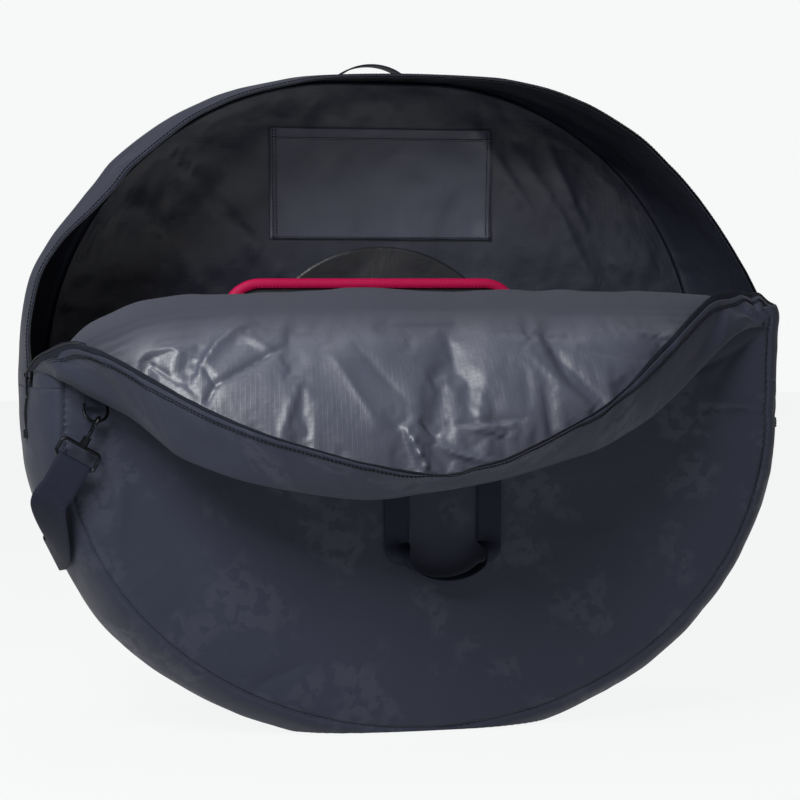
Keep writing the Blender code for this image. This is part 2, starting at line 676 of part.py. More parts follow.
def build_ring_and_hook(label, turn, lean):
    """Tab, D-ring, snap hook, gate and buckle of one end of the shoulder strap. Returns its buckle bar's place."""
    bar_y = -(PANEL_FACE + 2 * GAP + WEBBING + RING_WIRE + RING_STANDOFF)
    bar = Vector((-RING_CENTRE, bar_y, RING_BAR_HEIGHT))
    wrap = RING_WIRE + GAP + WEBBING / 2
    tab_y = -(PANEL_FACE + GAP + WEBBING / 2)
    top = RING_BAR_HEIGHT + RING_TAB_LENGTH
    path = [Vector((bar.x, tab_y, top)), Vector((bar.x, tab_y, RING_BAR_HEIGHT + RING_TAB_LENGTH * TAB_FOLD_SHARE))]
    for angle in spread(0.0, math.pi, BEND_STEPS):
        path.append(bar + Vector((0.0, wrap * math.cos(angle), -wrap * math.sin(angle))))
    path.append(Vector((bar.x, tab_y - WEBBING - GAP, RING_BAR_HEIGHT + RING_TAB_LENGTH * TAB_FOLD_SHARE)))
    path.append(Vector((bar.x, tab_y - WEBBING - GAP, top)))
    wide = placed([(1.0, 0.0, 0.0)], turn) * len(path)
    ribbon("ring_tab_" + label, placed(path, turn), wide, RING_TAB_WIDTH, WEBBING, "webbing", MIDDLE)

    pivot = make_pivot("ring_pivot_" + label, placed([bar], turn)[0])
    tilt = Vector((0.0, -math.sin(RING_TILT), -math.cos(RING_TILT)))
    ring = [bar - Vector((RING_HALF_WIDTH, 0.0, 0.0))]
    for angle in spread(math.pi, 2 * math.pi, BEND_STEPS + 4):
        hang = RING_STRAIGHT - RING_HALF_WIDTH * math.sin(angle)
        ring.append(bar + Vector((RING_HALF_WIDTH * math.cos(angle), 0.0, 0.0)) + tilt * hang)
    ring.append(bar + Vector((RING_HALF_WIDTH, 0.0, 0.0)))
    tube("d_ring_" + label, placed(ring, turn), RING_WIRE, "black_metal", closed=True, pivot=pivot)

    down = Vector((-math.sin(lean), 0.0, -math.cos(lean)))
    along = Vector((math.cos(lean), 0.0, -math.sin(lean)))
    out = Vector((0.0, -1.0, 0.0))
    seat = bar + tilt * (RING_STRAIGHT + RING_HALF_WIDTH)

    def at(side, drop):
        return seat + out * side + down * drop

    eye = HOOK_EYE_DROP
    hook = [at(0.0, HOOK_ROD_END), at(0.0, HOOK_NECK)]
    for angle in spread(math.pi - HOOK_TIP_ANGLE, HOOK_TIP_ANGLE, 2 * BEND_STEPS):
        hook.append(at(HOOK_EYE_RADIUS * math.cos(angle), eye - HOOK_EYE_RADIUS * math.sin(angle)))
    swivel = make_pivot("swivel_pivot_" + label, placed([at(0.0, HOOK_NECK)], turn)[0])
    tube("snap_hook_" + label, placed(hook, turn), HOOK_WIRE, "black_metal", pivot=swivel)
    tip = hook[-1]
    foot = at(GATE_FOOT_SIDE, HOOK_NECK)
    reach = (tip - foot).normalized()
    gate = [foot, tip - reach * (HOOK_WIRE + GAP)]
    gate_pivot = make_pivot("gate_pivot_" + label, placed([foot], turn)[0], parent=swivel)
    tube("snap_gate_" + label, placed(gate, turn), GATE_RADIUS, "black_metal", pivot=gate_pivot)

    corner = BUCKLE_CORNER
    frame = []
    for middle_side, middle_drop, first in (
        (BUCKLE_HALF_WIDTH - corner, BUCKLE_TOP + corner, -math.pi / 2),
        (BUCKLE_HALF_WIDTH - corner, BUCKLE_BOTTOM - corner, 0.0),
        (-BUCKLE_HALF_WIDTH + corner, BUCKLE_BOTTOM - corner, math.pi / 2),
        (-BUCKLE_HALF_WIDTH + corner, BUCKLE_TOP + corner, math.pi),
    ):
        for angle in spread(first, first + math.pi / 2, CORNER_STEPS):
            side = middle_side + corner * math.cos(angle)
            drop = middle_drop + corner * math.sin(angle)
            frame.append(seat + along * side + down * drop)
    loop = as_mesh(tube("frame_" + label, placed(frame, turn), BUCKLE_WIRE, "black_metal", closed=True))
    foot = BARREL_TOP - BUCKLE_TOP - BUCKLE_WIRE / 2
    profile = [(0.0, -BARREL_BORE_DEPTH), (BARREL_BORE, -BARREL_BORE_DEPTH), (BARREL_BORE, 0.0)]
    profile += [(BARREL_RADIUS, 0.0), (BARREL_RADIUS, foot), (0.0, foot)]
    mouth = placed([at(0.0, BARREL_TOP)], turn)[0]
    barrel = turned("strap_buckle_" + label, profile, "black_metal", mouth, placed([-down], turn)[0], ROUND_STEPS)
    barrel = as_mesh(barrel)
    combine(barrel, loop, "UNION")
    return placed([at(0.0, BUCKLE_BOTTOM)], turn)[0], placed([down], turn)[0], placed([along], turn)[0]


def on_gusset(height, turn, clearance):
    """A point on the left of the gusset at this height, by its station across the depth, standing off its face."""
    normal = Vector((-math.cos(turn) / (DEPTH / 2), math.sin(turn) / BULGE)).normalized()
    y = -DEPTH / 2 * math.cos(turn) + normal.x * clearance
    out = BULGE * math.sin(turn) + normal.y * clearance
    share = (WAIST_HEIGHT - height) / (BELLY_DROP + out)
    return Vector((-(HALF_WIDTH + out) * math.sqrt(1.0 - share * share), y, height))


def down_gusset(height, turn, clearance):
    """The direction down the gusset's face there."""
    step = STRAP_WIDTH / 2
    return (on_gusset(height - step, turn, clearance) - on_gusset(height + step, turn, clearance)).normalized()


def smooth_line(points, count):
    """Even points along a smooth curve through the given ones."""
    result = []
    last = len(points) - 1
    for index in range(last):
        p0 = points[max(index - 1, 0)]
        p1 = points[index]
        p2 = points[index + 1]
        p3 = points[min(index + 2, last)]
        for step in range(count):
            t = step / count
            result.append(0.5 * (2 * p1 + (p2 - p0) * t + (2 * p0 - 5 * p1 + 4 * p2 - p3) * t * t
                                 + (3 * p1 - p0 - 3 * p2 + p3) * t ** 3))
    return result + [points[last]]


def bar_turn(bar, down, out):
    """Webbing's end laid round a buckle bar: its tail next to the bag, over the bar, and off along the outer side."""
    wrap = BUCKLE_WIRE + GAP + WEBBING / 2
    near = (WEBBING + 2 * GAP) / 2
    path = [bar - out * near + down * STRAP_TAIL, bar - out * near + down * STRAP_TAIL * TAIL_FOLD_SHARE]
    for angle in spread(math.pi, 0.0, BEND_STEPS):
        path.append(bar + out * (wrap * math.cos(angle)) - down * (wrap * math.sin(angle)))
    path.append(bar + out * near + down * STRAP_TAIL * TAIL_FOLD_SHARE)
    path.append(bar + out * near + down * STRAP_TAIL)
    return path


def build_strap():
    left_bar, left_down, left_along = build_ring_and_hook("left", 0.0, LEFT_SHANK_LEAN)
    right_bar, right_down, right_along = build_ring_and_hook("right", math.pi, -RIGHT_SHANK_LEAN)
    front = Vector((0.0, -1.0, 0.0))
    down = Vector((0.0, 0.0, -1.0))
    start = bar_turn(left_bar, left_down, front)
    end = bar_turn(right_bar, right_down, -front)[::-1]
    route = [start[-1]]
    lean = [left_along]
    for share, height_share, clearance_share in STRAP_SIDE_SHARES:
        place = (WAIST_HEIGHT * height_share, math.pi * share, STRAP_CLEARANCE * clearance_share)
        route.append(on_gusset(*place))
        lean.append(down_gusset(*place))
    for share, height_share in STRAP_BACK_SHARES:
        route.append(Vector((HALF_WIDTH * share, PANEL_FACE + STRAP_BACK_STANDOFF, WAIST_HEIGHT * height_share)))
        lean.append(down)
    route.append(end[0])
    last = right_along if right_along.z < 0 else -right_along
    lean.append(last)
    run = smooth_line(route, STRAP_STEPS)
    leans = smooth_line(lean, STRAP_STEPS)
    across = [left_along] * (len(start) - 1)
    for index, point in enumerate(run):
        before = run[max(index - 1, 0)]
        after = run[min(index + 1, len(run) - 1)]
        tangent = (after - before).normalized()
        across.append((leans[index] - tangent * leans[index].dot(tangent)).normalized())
    across += [last] * (len(end) - 1)
    ribbon("shoulder_strap", start[:-1] + run + end[1:], across, STRAP_WIDTH, WEBBING, "webbing", MIDDLE)


def build_adjuster():
    """The strap's three-bar slide: two end bars on the strap's outer side, and a middle bar on its inner side."""
    shares = [(share, height) for share, height in STRAP_BACK_SHARES if height == min(h for s, h in STRAP_BACK_SHARES)]
    x = HALF_WIDTH * (shares[0][0] + shares[-1][0]) / 2
    y = PANEL_FACE + STRAP_BACK_STANDOFF
    z = WAIST_HEIGHT * shares[0][1]
    slot = WEBBING / 2 + ADJUSTER_SIDE_GAP
    window = STRAP_WIDTH / 2 + ADJUSTER_SIDE_GAP
    thick = slot + ADJUSTER_BAR
    half = ADJUSTER_LENGTH / 2
    pivot = make_pivot("adjuster_pivot", (x, y, z))
    body = box("strap_adjuster", (x - half, y - thick, z - window - ADJUSTER_RAIL),
               (x + half, y + thick, z + window + ADJUSTER_RAIL), "black_metal")
    inner = half - ADJUSTER_BAR_WIDTH
    cuts = [(-half - CUT_OVERRUN, half + CUT_OVERRUN, -slot, slot), (-inner, inner, 0.0, thick + CUT_OVERRUN)]
    middle = ADJUSTER_BAR_WIDTH / 2
    cuts += [(-half - CUT_OVERRUN, -middle, -thick - CUT_OVERRUN, 0.0)]
    cuts += [(middle, half + CUT_OVERRUN, -thick - CUT_OVERRUN, 0.0)]
    for left, right, near, far in cuts:
        tool = box("slot", (x + left, y + near, z - window), (x + right, y + far, z + window), "black_metal")
        combine(body, tool, "DIFFERENCE")
    body = as_mesh(body)
    body.parent = pivot
    body.matrix_local = Matrix.Translation(-Vector((x, y, z)))


def build_divider():
    pivot = make_pivot("divider_pivot", (DIVIDER_CENTRE, 0.0, GUSSET_STACK + DIVIDER_BASE_CLEARANCE))
    half = DIVIDER_HALF_WIDTH
    edge = []
    for angle in spread(0.0, math.pi / 2, BEND_STEPS // 2):
        edge.append((DIVIDER_CENTRE + half - DIVIDER_CORNER * (1.0 - math.cos(angle)),
                     DIVIDER_TOP - DIVIDER_CORNER * (1.0 - math.sin(angle))))
    edge += [(2 * DIVIDER_CENTRE - x, z) for x, z in reversed(edge)]
    foot = DIVIDER_BASE_CLEARANCE
    outline = [(DIVIDER_CENTRE + half, foot_height(DIVIDER_CENTRE + half) + foot)] + edge
    outline += [(DIVIDER_CENTRE - half, foot_height(DIVIDER_CENTRE - half) + foot)]
    for share in spread(-1.0, 1.0, BEND_STEPS)[1:-1]:
        x = DIVIDER_CENTRE + half * share
        outline.append((x, foot_height(x) + foot))
    panel("divider_foam", [outline], -DIVIDER_FOAM / 2, DIVIDER_FOAM / 2, "foam", pivot)
    face = DIVIDER_FOAM / 2 + GAP
    panel("divider_cover_front", [outline], -face - LINING, -face, "hub_guard", pivot)
    panel("divider_cover_back", [outline], face, face + LINING, "hub_guard", pivot)
    side = face + LINING + GAP
    rows = []
    for out, y in ((-BINDING_WIDTH, -1), (GAP + BINDING, -1), (GAP + BINDING, 1), (-BINDING_WIDTH, 1)):
        line = offset_line(outline[:len(edge) + 2], out)
        rows.append([Vector((x, y * (side + BINDING), z)) for x, z in line])
    grid_shell("divider_binding", rows, BINDING, "crimson_binding", (DIVIDER_CENTRE, 0.0, DIVIDER_TOP / 2), pivot=pivot)


def foot_height(x):
    """The height of the lining's face at the middle of the gusset's base."""
    share = min(1.0, abs(x) / (HALF_WIDTH + BULGE))
    curve = WAIST_HEIGHT - (BELLY_DROP + BULGE) * math.sqrt(1.0 - share * share)
    return max(curve, 0.0) + GUSSET_STACK


def offset_line(points, out):
    """An open line of (x, z) moved sideways by this much, away from the divider's middle."""
    moved = []
    for index, (x, z) in enumerate(points):
        x0, z0 = points[max(index - 1, 0)]
        x1, z1 = points[min(index + 1, len(points) - 1)]
        along = Vector((x1 - x0, z1 - z0)).normalized()
        moved.append((x + along.y * out, z - along.x * out))
    return moved


def build_inside():
    guard_y = LINING_FACE - GAP
    ring = []
    for angle in spread(0.0, 2 * math.pi, 3 * ARC_STEPS)[:-1]:
        ring.append((math.cos(angle), math.sin(angle)))
    back = [(HUB_GUARD_RADIUS * x, HUB_GUARD_HEIGHT + HUB_GUARD_RADIUS * z) for x, z in ring]
    panel("hub_guard_back", [back], guard_y - HUB_GUARD, guard_y, "hub_guard")
    front = [(HUB_GUARD_FRONT_RADIUS * x, HUB_GUARD_HEIGHT + HUB_GUARD_FRONT_RADIUS * z) for x, z in ring]
    panel("hub_guard_front", [front], -guard_y, -guard_y + HUB_GUARD, "hub_guard")
    pocket = rounded_box(-POCKET_HALF_WIDTH, POCKET_HALF_WIDTH, POCKET_BOTTOM, POCKET_TOP, POCKET_CORNER)
    panel("pocket_panel", [pocket], guard_y - LINING, guard_y, "pocket_fabric")
    hem = rounded_box(-POCKET_HALF_WIDTH, POCKET_HALF_WIDTH, POCKET_TOP - POCKET_HEM, POCKET_TOP, POCKET_CORNER / 2)
    hem_y = guard_y - LINING - GAP
    panel("pocket_hem", [hem], hem_y - LINING, hem_y, "webbing")
    floor = GUSSET_STACK + GAP
    box("base_board", (-BASE_BOARD_HALF_WIDTH, -BASE_BOARD_HALF_DEPTH, floor),
        (BASE_BOARD_HALF_WIDTH, BASE_BOARD_HALF_DEPTH, floor + BASE_BOARD), "base_board")
    tape_y = LINING_FACE - GAP
    outer = GUSSET_STACK + 2 * GAP
    inner = outer + SEAM_TAPE_WIDTH
    panel("back_seam_tape", [oval(outer), oval(inner)], tape_y - LINING, tape_y, "webbing")
    strip = lower_oval(outer, PANEL_TOP) + lower_oval(inner, PANEL_TOP)[::-1]
    panel("front_seam_tape", [strip], -tape_y, -tape_y + LINING, "webbing")


def rounded_box(left, right, bottom, top, corner):
    outline = []
    for x, z, first in ((right, top, 0.0), (left, top, 0.5), (left, bottom, 1.0), (right, bottom, 1.5)):
        centre_x = x - corner if x == right else x + corner
        centre_z = z - corner if z == top else z + corner
        for angle in spread(first * math.pi, (first + 0.5) * math.pi, CORNER_STEPS):
            outline.append((centre_x + corner * math.cos(angle), centre_z + corner * math.sin(angle)))
    return outline


clear_scene()
MATERIAL = {name: make_material(name) for name in MATERIALS}
BAG = make_collection("bike_wheel_bag")
CUTTERS = make_collection("cutters")
CUTTERS.hide_render = True

build_back_panel()
build_front_panel()
build_lower_gusset()
build_rear_gusset()
build_zip()
build_fold()
build_flap()
for side, label in SIDES:
    build_slider(label, side)
build_handle("front", FRONT_HANDLE_CENTRE, FRONT_HANDLE_HEIGHT, -1, -1)
build_handle("back", BACK_HANDLE_CENTRE, BACK_HANDLE_HEIGHT, 1, 1)
build_strap()
build_adjuster()
build_divider()
build_inside()
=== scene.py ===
# %% [markdown]
# # A padded bag for two bicycle wheels
# The bag stands open: its front flap is unzipped and hangs down over the front panel. The hard pieces (rings, hooks,
# buckles, sliders) come from the solid model as they are. Everything sewn is made here again as cloth, in the place
# that its plain solid holds, because cloth needs far more points than a solid does before it creases like cloth.

# %% The frame
import math
import bpy
import numpy as np
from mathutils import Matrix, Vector
from mathutils.bvhtree import BVHTree


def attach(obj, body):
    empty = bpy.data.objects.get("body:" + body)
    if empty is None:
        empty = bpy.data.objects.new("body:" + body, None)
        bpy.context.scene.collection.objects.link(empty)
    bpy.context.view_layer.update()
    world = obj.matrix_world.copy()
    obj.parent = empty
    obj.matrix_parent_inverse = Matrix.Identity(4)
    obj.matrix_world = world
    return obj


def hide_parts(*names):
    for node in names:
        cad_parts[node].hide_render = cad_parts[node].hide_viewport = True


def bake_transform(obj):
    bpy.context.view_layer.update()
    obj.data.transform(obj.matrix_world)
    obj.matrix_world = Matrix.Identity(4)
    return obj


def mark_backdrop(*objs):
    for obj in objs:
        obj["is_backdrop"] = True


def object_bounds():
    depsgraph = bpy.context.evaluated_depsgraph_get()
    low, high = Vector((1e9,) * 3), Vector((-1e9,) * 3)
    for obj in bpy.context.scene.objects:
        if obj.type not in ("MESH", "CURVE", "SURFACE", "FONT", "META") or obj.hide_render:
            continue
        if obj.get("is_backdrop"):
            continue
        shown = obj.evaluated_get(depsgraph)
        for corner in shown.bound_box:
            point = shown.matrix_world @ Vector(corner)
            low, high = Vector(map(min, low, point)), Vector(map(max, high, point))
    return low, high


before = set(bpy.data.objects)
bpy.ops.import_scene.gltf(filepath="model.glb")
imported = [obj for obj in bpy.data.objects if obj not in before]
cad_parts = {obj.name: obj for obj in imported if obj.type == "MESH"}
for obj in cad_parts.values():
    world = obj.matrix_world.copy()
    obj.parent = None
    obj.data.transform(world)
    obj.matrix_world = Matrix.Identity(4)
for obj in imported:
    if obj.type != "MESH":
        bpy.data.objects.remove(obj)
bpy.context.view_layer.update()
MM = 0.001

# %% [markdown]
# ## Camera
# The photograph was taken with a long lens from a little left of the middle, just above half the bag's height. A long
# lens keeps the far rim almost as large as the near one, which is why the bag looks so round in it.

# %% Camera
AIM = Vector((-0.003, 0.0, 0.362))
DISTANCE = 2.65
AZIMUTH = math.radians(-13.5)
ELEVATION = math.radians(3.0)
LENS = 103.5

level = math.cos(ELEVATION)
back = Vector((math.sin(AZIMUTH) * level, -math.cos(AZIMUTH) * level, math.sin(ELEVATION)))
camera = bpy.data.objects.new("camera", bpy.data.cameras.new("camera"))
bpy.context.collection.objects.link(camera)
camera.location = AIM + back * DISTANCE
camera.rotation_mode = "QUATERNION"
camera.rotation_quaternion = (-back).to_track_quat("-Z", "Y")
camera.data.lens = LENS
bpy.context.scene.camera = camera
print("camera at", tuple(round(value, 3) for value in camera.location))

# %% [markdown]
# ## Colours and nodes
# Colours are written as they look on screen, and one function turns them into the linear values that shaders work in.
# One small function adds a node to a tree with its settings and what feeds it: a value, one output of another node, or
# that node itself, which stands for its first output.


# %% Helpers for materials
def linear(text):
    """A screen colour such as #2b303c as linear red, green, blue and alpha."""
    shares = [int(text[i:i + 2], 16) / 255 for i in (1, 3, 5)]
    return tuple(s / 12.92 if s <= 0.04045 else ((s + 0.055) / 1.055) ** 2.4 for s in shares) + (1.0,)


def feed(tree, node, feeds):
    """Set a node's inputs by name, from a value, an output, or the first output of another node."""
    for name, value in feeds.items():
        if isinstance(value, bpy.types.Node):
            value = next(output for output in value.outputs if output.enabled)
        if isinstance(value, bpy.types.NodeSocket):
            tree.links.new(value, node.inputs[name])
        else:
            node.inputs[name].default_value = value


def add_node(tree, kind, feeds=None, stops=(), **settings):
    """A node with its settings and what feeds it. A colour ramp also has stops: places, each with a value or colour."""
    made = tree.nodes.new(kind)
    for name, value in settings.items():
        setattr(made, name, value)
    feed(tree, made, feeds or {})
    for _ in stops[2:]:
        made.color_ramp.elements.new(0.5)
    for number, (place, value) in enumerate(stops):
        made.color_ramp.elements[number].position = place
        made.color_ramp.elements[number].color = value if isinstance(value, tuple) else (value, value, value, 1.0)
    return made


def new_material(name):
    """A new material, its node tree and its main shader."""
    material = bpy.data.materials.new(name)
    material.use_nodes = True
    print("material", name)
    return material, material.node_tree, material.node_tree.nodes["Principled BSDF"]

# %% [markdown]
# ## Outer fabric: mottled polyester canvas
# The outside is a plain-woven polyester, dyed almost black with a touch of blue, and printed tone on tone with soft
# clouds of puffs. It is made of three noises: a slow one says where a cloud lies, a quicker one breaks it into round
# puffs, and a fine one speckles it as a worn print roller does. Threads are 0.5 mm apart, which is too fine to show at
# this size, so the weave is drawn at 1.4 mm.

# %% Outer fabric
CLOUD_SIZE = 85 * MM
PUFF_SIZE = 15 * MM
SPECK_SIZE = 1.6 * MM
FADE_SIZE = 250 * MM
RUMPLE_SIZE = 26 * MM
THREAD_SHOWN = 1.4 * MM
PRINT = ((CLOUD_SIZE, 3.0, 0.55, ((0.52, 0.0), (0.58, 1.0))), (PUFF_SIZE, 2.0, 0.5, ((0.43, 0.0), (0.50, 1.0))),
         (SPECK_SIZE, 2.0, 0.5, ((0.3, 0.45), (0.7, 1.0))))


def band_scale(spacing):
    """The Scale at which a wave texture's bands lie this far apart."""
    return 1 / spacing / 20 * math.pi * 2


def plain_weave(tree, place, spacing):
    """Over-and-under threads: two crossed waves in the cloth's own coordinates."""
    warp, weft = [add_node(tree, "ShaderNodeTexWave", {"Vector": place, "Scale": band_scale(spacing)},
                           wave_type="BANDS", bands_direction=way).outputs["Fac"] for way in "XY"]
    return add_node(tree, "ShaderNodeMath", {0: warp, 1: weft}, operation="MULTIPLY")


def mottled_canvas():
    """Dark dye with a paler print, over a slow rumple and the weave."""
    material, tree, shader = new_material("mottled_polyester_canvas")
    place = add_node(tree, "ShaderNodeUVMap", uv_map="cloth")
    print_mask = None
    for size, detail, roughness, stops in PRINT:
        noise = add_node(tree, "ShaderNodeTexNoise", {"Vector": place, "Scale": 1 / size, "Detail": detail,
                                                      "Roughness": roughness})
        mask = add_node(tree, "ShaderNodeValToRGB", {"Fac": noise}, stops=stops)
        if print_mask:
            mask = add_node(tree, "ShaderNodeMath", {0: print_mask, 1: mask}, operation="MULTIPLY")
        print_mask = mask
    fade = add_node(tree, "ShaderNodeTexNoise", {"Vector": place, "Scale": 1 / FADE_SIZE, "Detail": 3.0})
    dye = add_node(tree, "ShaderNodeMix", {"Factor": fade, "A": linear("#1e2232"), "B": linear("#242839")},
                   data_type="RGBA")
    colour = add_node(tree, "ShaderNodeMix", {"Factor": print_mask, "A": dye, "B": linear("#2c2f3e")}, data_type="RGBA")
    rough = add_node(tree, "ShaderNodeValToRGB", {"Fac": print_mask}, stops=((0.0, 0.72), (1.0, 0.6)))
    rumple = add_node(tree, "ShaderNodeTexNoise", {"Vector": place, "Scale": 1 / RUMPLE_SIZE, "Detail": 4.0,
                                                   "Roughness": 0.55})
    coarse = add_node(tree, "ShaderNodeBump", {"Height": rumple, "Strength": 0.5, "Distance": 2.2 * MM})
    fine = add_node(tree, "ShaderNodeBump", {"Height": plain_weave(tree, place, THREAD_SHOWN), "Strength": 0.35,
                                             "Distance": 0.2 * MM, "Normal": coarse})
    feed(tree, shader, {"Base Color": colour, "Roughness": rough, "Sheen Weight": 0.05, "Sheen Roughness": 0.5,
                        "Specular IOR Level": 0.35, "Normal": fine})
    return material


CANVAS = mottled_canvas()

# %% [markdown]
# ## Lining: coated ripstop nylon
# The inside is a thin nylon with a shiny polyurethane coat. Thicker threads every 5 mm stop a tear, and show as a fine
# grid. The coat makes every crease catch the light, so its bump matters more than its colour.

# %% Lining
RIPSTOP = 5 * MM
RIPSTOP_THREAD = 0.45 * MM
SLOW_FOLD, RIDGE_FOLD, QUICK_FOLD = 48 * MM, 60 * MM, 11 * MM
CLOUDS_PER_METRE = 9.0


def ripstop(name, dark, light, crinkle, fold_shade=False):
    """Shiny coated nylon. If wanted, the coat is rougher where the cloth goes over the fold, and its colour there is
    darkened as painted shade.
    """
    material, tree, shader = new_material(name)
    place = add_node(tree, "ShaderNodeUVMap", uv_map="cloth")
    cloud = add_node(tree, "ShaderNodeTexNoise", {"Vector": place, "Scale": CLOUDS_PER_METRE, "Detail": 6.0,
                                                  "Roughness": 0.6})
    shade = add_node(tree, "ShaderNodeMix", {"Factor": cloud, "A": linear(dark), "B": linear(light)}, data_type="RGBA")
    rough = add_node(tree, "ShaderNodeValToRGB", {"Fac": cloud}, stops=((0.3, 0.36), (0.7, 0.52)))
    if fold_shade:
        down = add_node(tree, "ShaderNodeSeparateXYZ", {"Vector": place}).outputs["Y"]
        fold_dull_and_shade = add_node(tree, "ShaderNodeValToRGB", {"Fac": down}, stops=((0.006, 0.55), (0.055, 0.0)))
        rough = add_node(tree, "ShaderNodeMath", {0: rough, 1: fold_dull_and_shade}, operation="ADD")
        # Painted shade: the colour goes dark where the cloth goes over the fold.
        shade = add_node(tree, "ShaderNodeMix", {"Factor": fold_dull_and_shade, "A": shade, "B": linear("#1f2129")}, data_type="RGBA")
    grid = add_node(tree, "ShaderNodeTexBrick", {"Vector": place, "Scale": 1.0, "Brick Width": RIPSTOP,
                                                 "Row Height": RIPSTOP, "Mortar Size": RIPSTOP_THREAD,
                                                 "Mortar Smooth": 0.6, "Color1": (0, 0, 0, 1), "Color2": (0, 0, 0, 1),
                                                 "Mortar": (1, 1, 1, 1)}, offset=0.0)
    slow = add_node(tree, "ShaderNodeTexNoise", {"Vector": place, "Scale": 1 / SLOW_FOLD, "Detail": 3.0,
                                                 "Roughness": 0.45, "Distortion": 0.3})
    ridges = add_node(tree, "ShaderNodeTexNoise", {"Vector": place, "Scale": 1 / RIDGE_FOLD, "Detail": 3.0,
                                                   "Roughness": 0.55, "Distortion": 0.2},
                      noise_type="RIDGED_MULTIFRACTAL")
    quick = add_node(tree, "ShaderNodeTexNoise", {"Vector": place, "Scale": 1 / QUICK_FOLD, "Detail": 3.0,
                                                  "Roughness": 0.5})
    below = {}
    for height, strength, distance in ((slow, crinkle, 4.0 * MM), (ridges, 0.5 * crinkle, 1.6 * MM),
                                       (quick, 0.5 * crinkle, 1.2 * MM), (grid, 0.35, 0.16 * MM)):
        relief = add_node(tree, "ShaderNodeBump", {"Height": height, "Strength": strength, "Distance": distance,
                                                   **below})
        below = {"Normal": relief}
    feed(tree, shader, {"Base Color": shade, "Roughness": rough, "Specular IOR Level": 0.6, **below})
    return material


# The flap's lining carries painted shade where it goes over the fold.
LINING = ripstop("coated_ripstop_nylon", "#3c3f4c", "#4c4f5e", 0.5, fold_shade=True)
# The same lining, made darker for the inner walls: painted shade for the dark inside of the bag.
SHADED_LINING = ripstop("coated_ripstop_nylon_painted_shade", "#222532", "#2e313e", 0.6)
POCKET_CLOTH = ripstop("pocket_ripstop_nylon", "#3e414f", "#4c4f60", 0.35)
GUARD_CLOTH = ripstop("hub_guard_tarpaulin", "#1b1c21", "#26272d", 0.7)


# %% [markdown]
# ## Webbing, tape and binding
# Webbing is woven with ribs along its length. Zip tape has a finer herringbone, and the divider's edge is bound in a
# plain crimson tape. All three read the strip's own map, which runs along the strip in metres.

# %% Webbing, tape and binding
WEAR_PER_METRE = 60.0


def woven_strip(name, dark, light, rib, roughness):
    """Ribs along the strip, crossed by closer threads, and a little worn. The colour is darker in the grooves between
    the threads, as painted shade.
    """
    material, tree, shader = new_material(name)
    place = add_node(tree, "ShaderNodeUVMap", uv_map="cloth")
    ribs = add_node(tree, "ShaderNodeTexWave", {"Vector": place, "Scale": band_scale(rib), "Distortion": 0.6,
                                                "Detail": 1.0}, wave_type="BANDS", bands_direction="Y").outputs["Fac"]
    picks = add_node(tree, "ShaderNodeTexWave", {"Vector": place, "Scale": band_scale(0.8 * rib)}, wave_type="BANDS",
                     bands_direction="X").outputs["Fac"]
    height = add_node(tree, "ShaderNodeMath", {0: ribs, 1: picks}, operation="MULTIPLY")
    wear = add_node(tree, "ShaderNodeTexNoise", {"Vector": place, "Scale": WEAR_PER_METRE, "Detail": 4.0})
    # Painted shade in the grooves: darker where the weave lies low, together with the random wear.
    tone = add_node(tree, "ShaderNodeMath", {0: height, 1: wear}, operation="MULTIPLY")
    colour = add_node(tree, "ShaderNodeMix", {"Factor": tone, "A": linear(dark), "B": linear(light)}, data_type="RGBA")
    relief = add_node(tree, "ShaderNodeBump", {"Height": height, "Strength": 0.6, "Distance": 0.3 * MM})
    feed(tree, shader, {"Base Color": colour, "Roughness": roughness, "Specular IOR Level": 0.2, "Normal": relief})
    return material


WEBBING = woven_strip("polyester_webbing", "#141826", "#212637", 2.2 * MM, 0.72)
ZIP_TAPE = woven_strip("woven_zip_tape", "#10131f", "#1b2031", 1.1 * MM, 0.72)
BINDING = woven_strip("crimson_binding_tape", "#a20540", "#c90b4e", 1.6 * MM, 0.55)
THREAD = woven_strip("bonded_sewing_thread", "#0a0c14", "#151826", 0.8 * MM, 0.6)
BRAID = woven_strip("braided_pull_cord", "#0d0f15", "#191c25", 1.2 * MM, 0.6)


# %% [markdown]
# ## Hard materials
# The hooks, rings and sliders are die-cast zinc with a black plating that wears a little brighter on its edges. The
# zip's coil is nylon, and the board in the base is polypropylene, both with the fine grain of a mould. These pieces
# have no map of their own, so their patterns read Object coordinates, and sizes are in metres there too.

# %% Hard materials
CASTING_GRAIN = 0.9 * MM
PLATING_WEAR = 6 * MM


def plated_metal():
    """Black plating, worn brighter in places."""
    material, tree, shader = new_material("black_plated_zinc")
    place = add_node(tree, "ShaderNodeTexCoord").outputs["Object"]
    grain = add_node(tree, "ShaderNodeTexNoise", {"Vector": place, "Scale": 1 / CASTING_GRAIN, "Detail": 3.0})
    wear = add_node(tree, "ShaderNodeTexNoise", {"Vector": place, "Scale": 1 / PLATING_WEAR, "Detail": 4.0})
    colour = add_node(tree, "ShaderNodeValToRGB", {"Fac": wear},
                      stops=((0.35, linear("#0f1014")), (0.6, linear("#1b1d22")), (0.75, linear("#3a3d45"))))
    rough = add_node(tree, "ShaderNodeValToRGB", {"Fac": grain}, stops=((0.2, 0.26), (0.8, 0.42)))
    relief = add_node(tree, "ShaderNodeBump", {"Height": grain, "Strength": 0.15, "Distance": 0.1 * MM})
    feed(tree, shader, {"Base Color": colour, "Roughness": rough, "Metallic": 0.85, "Normal": relief})
    return material


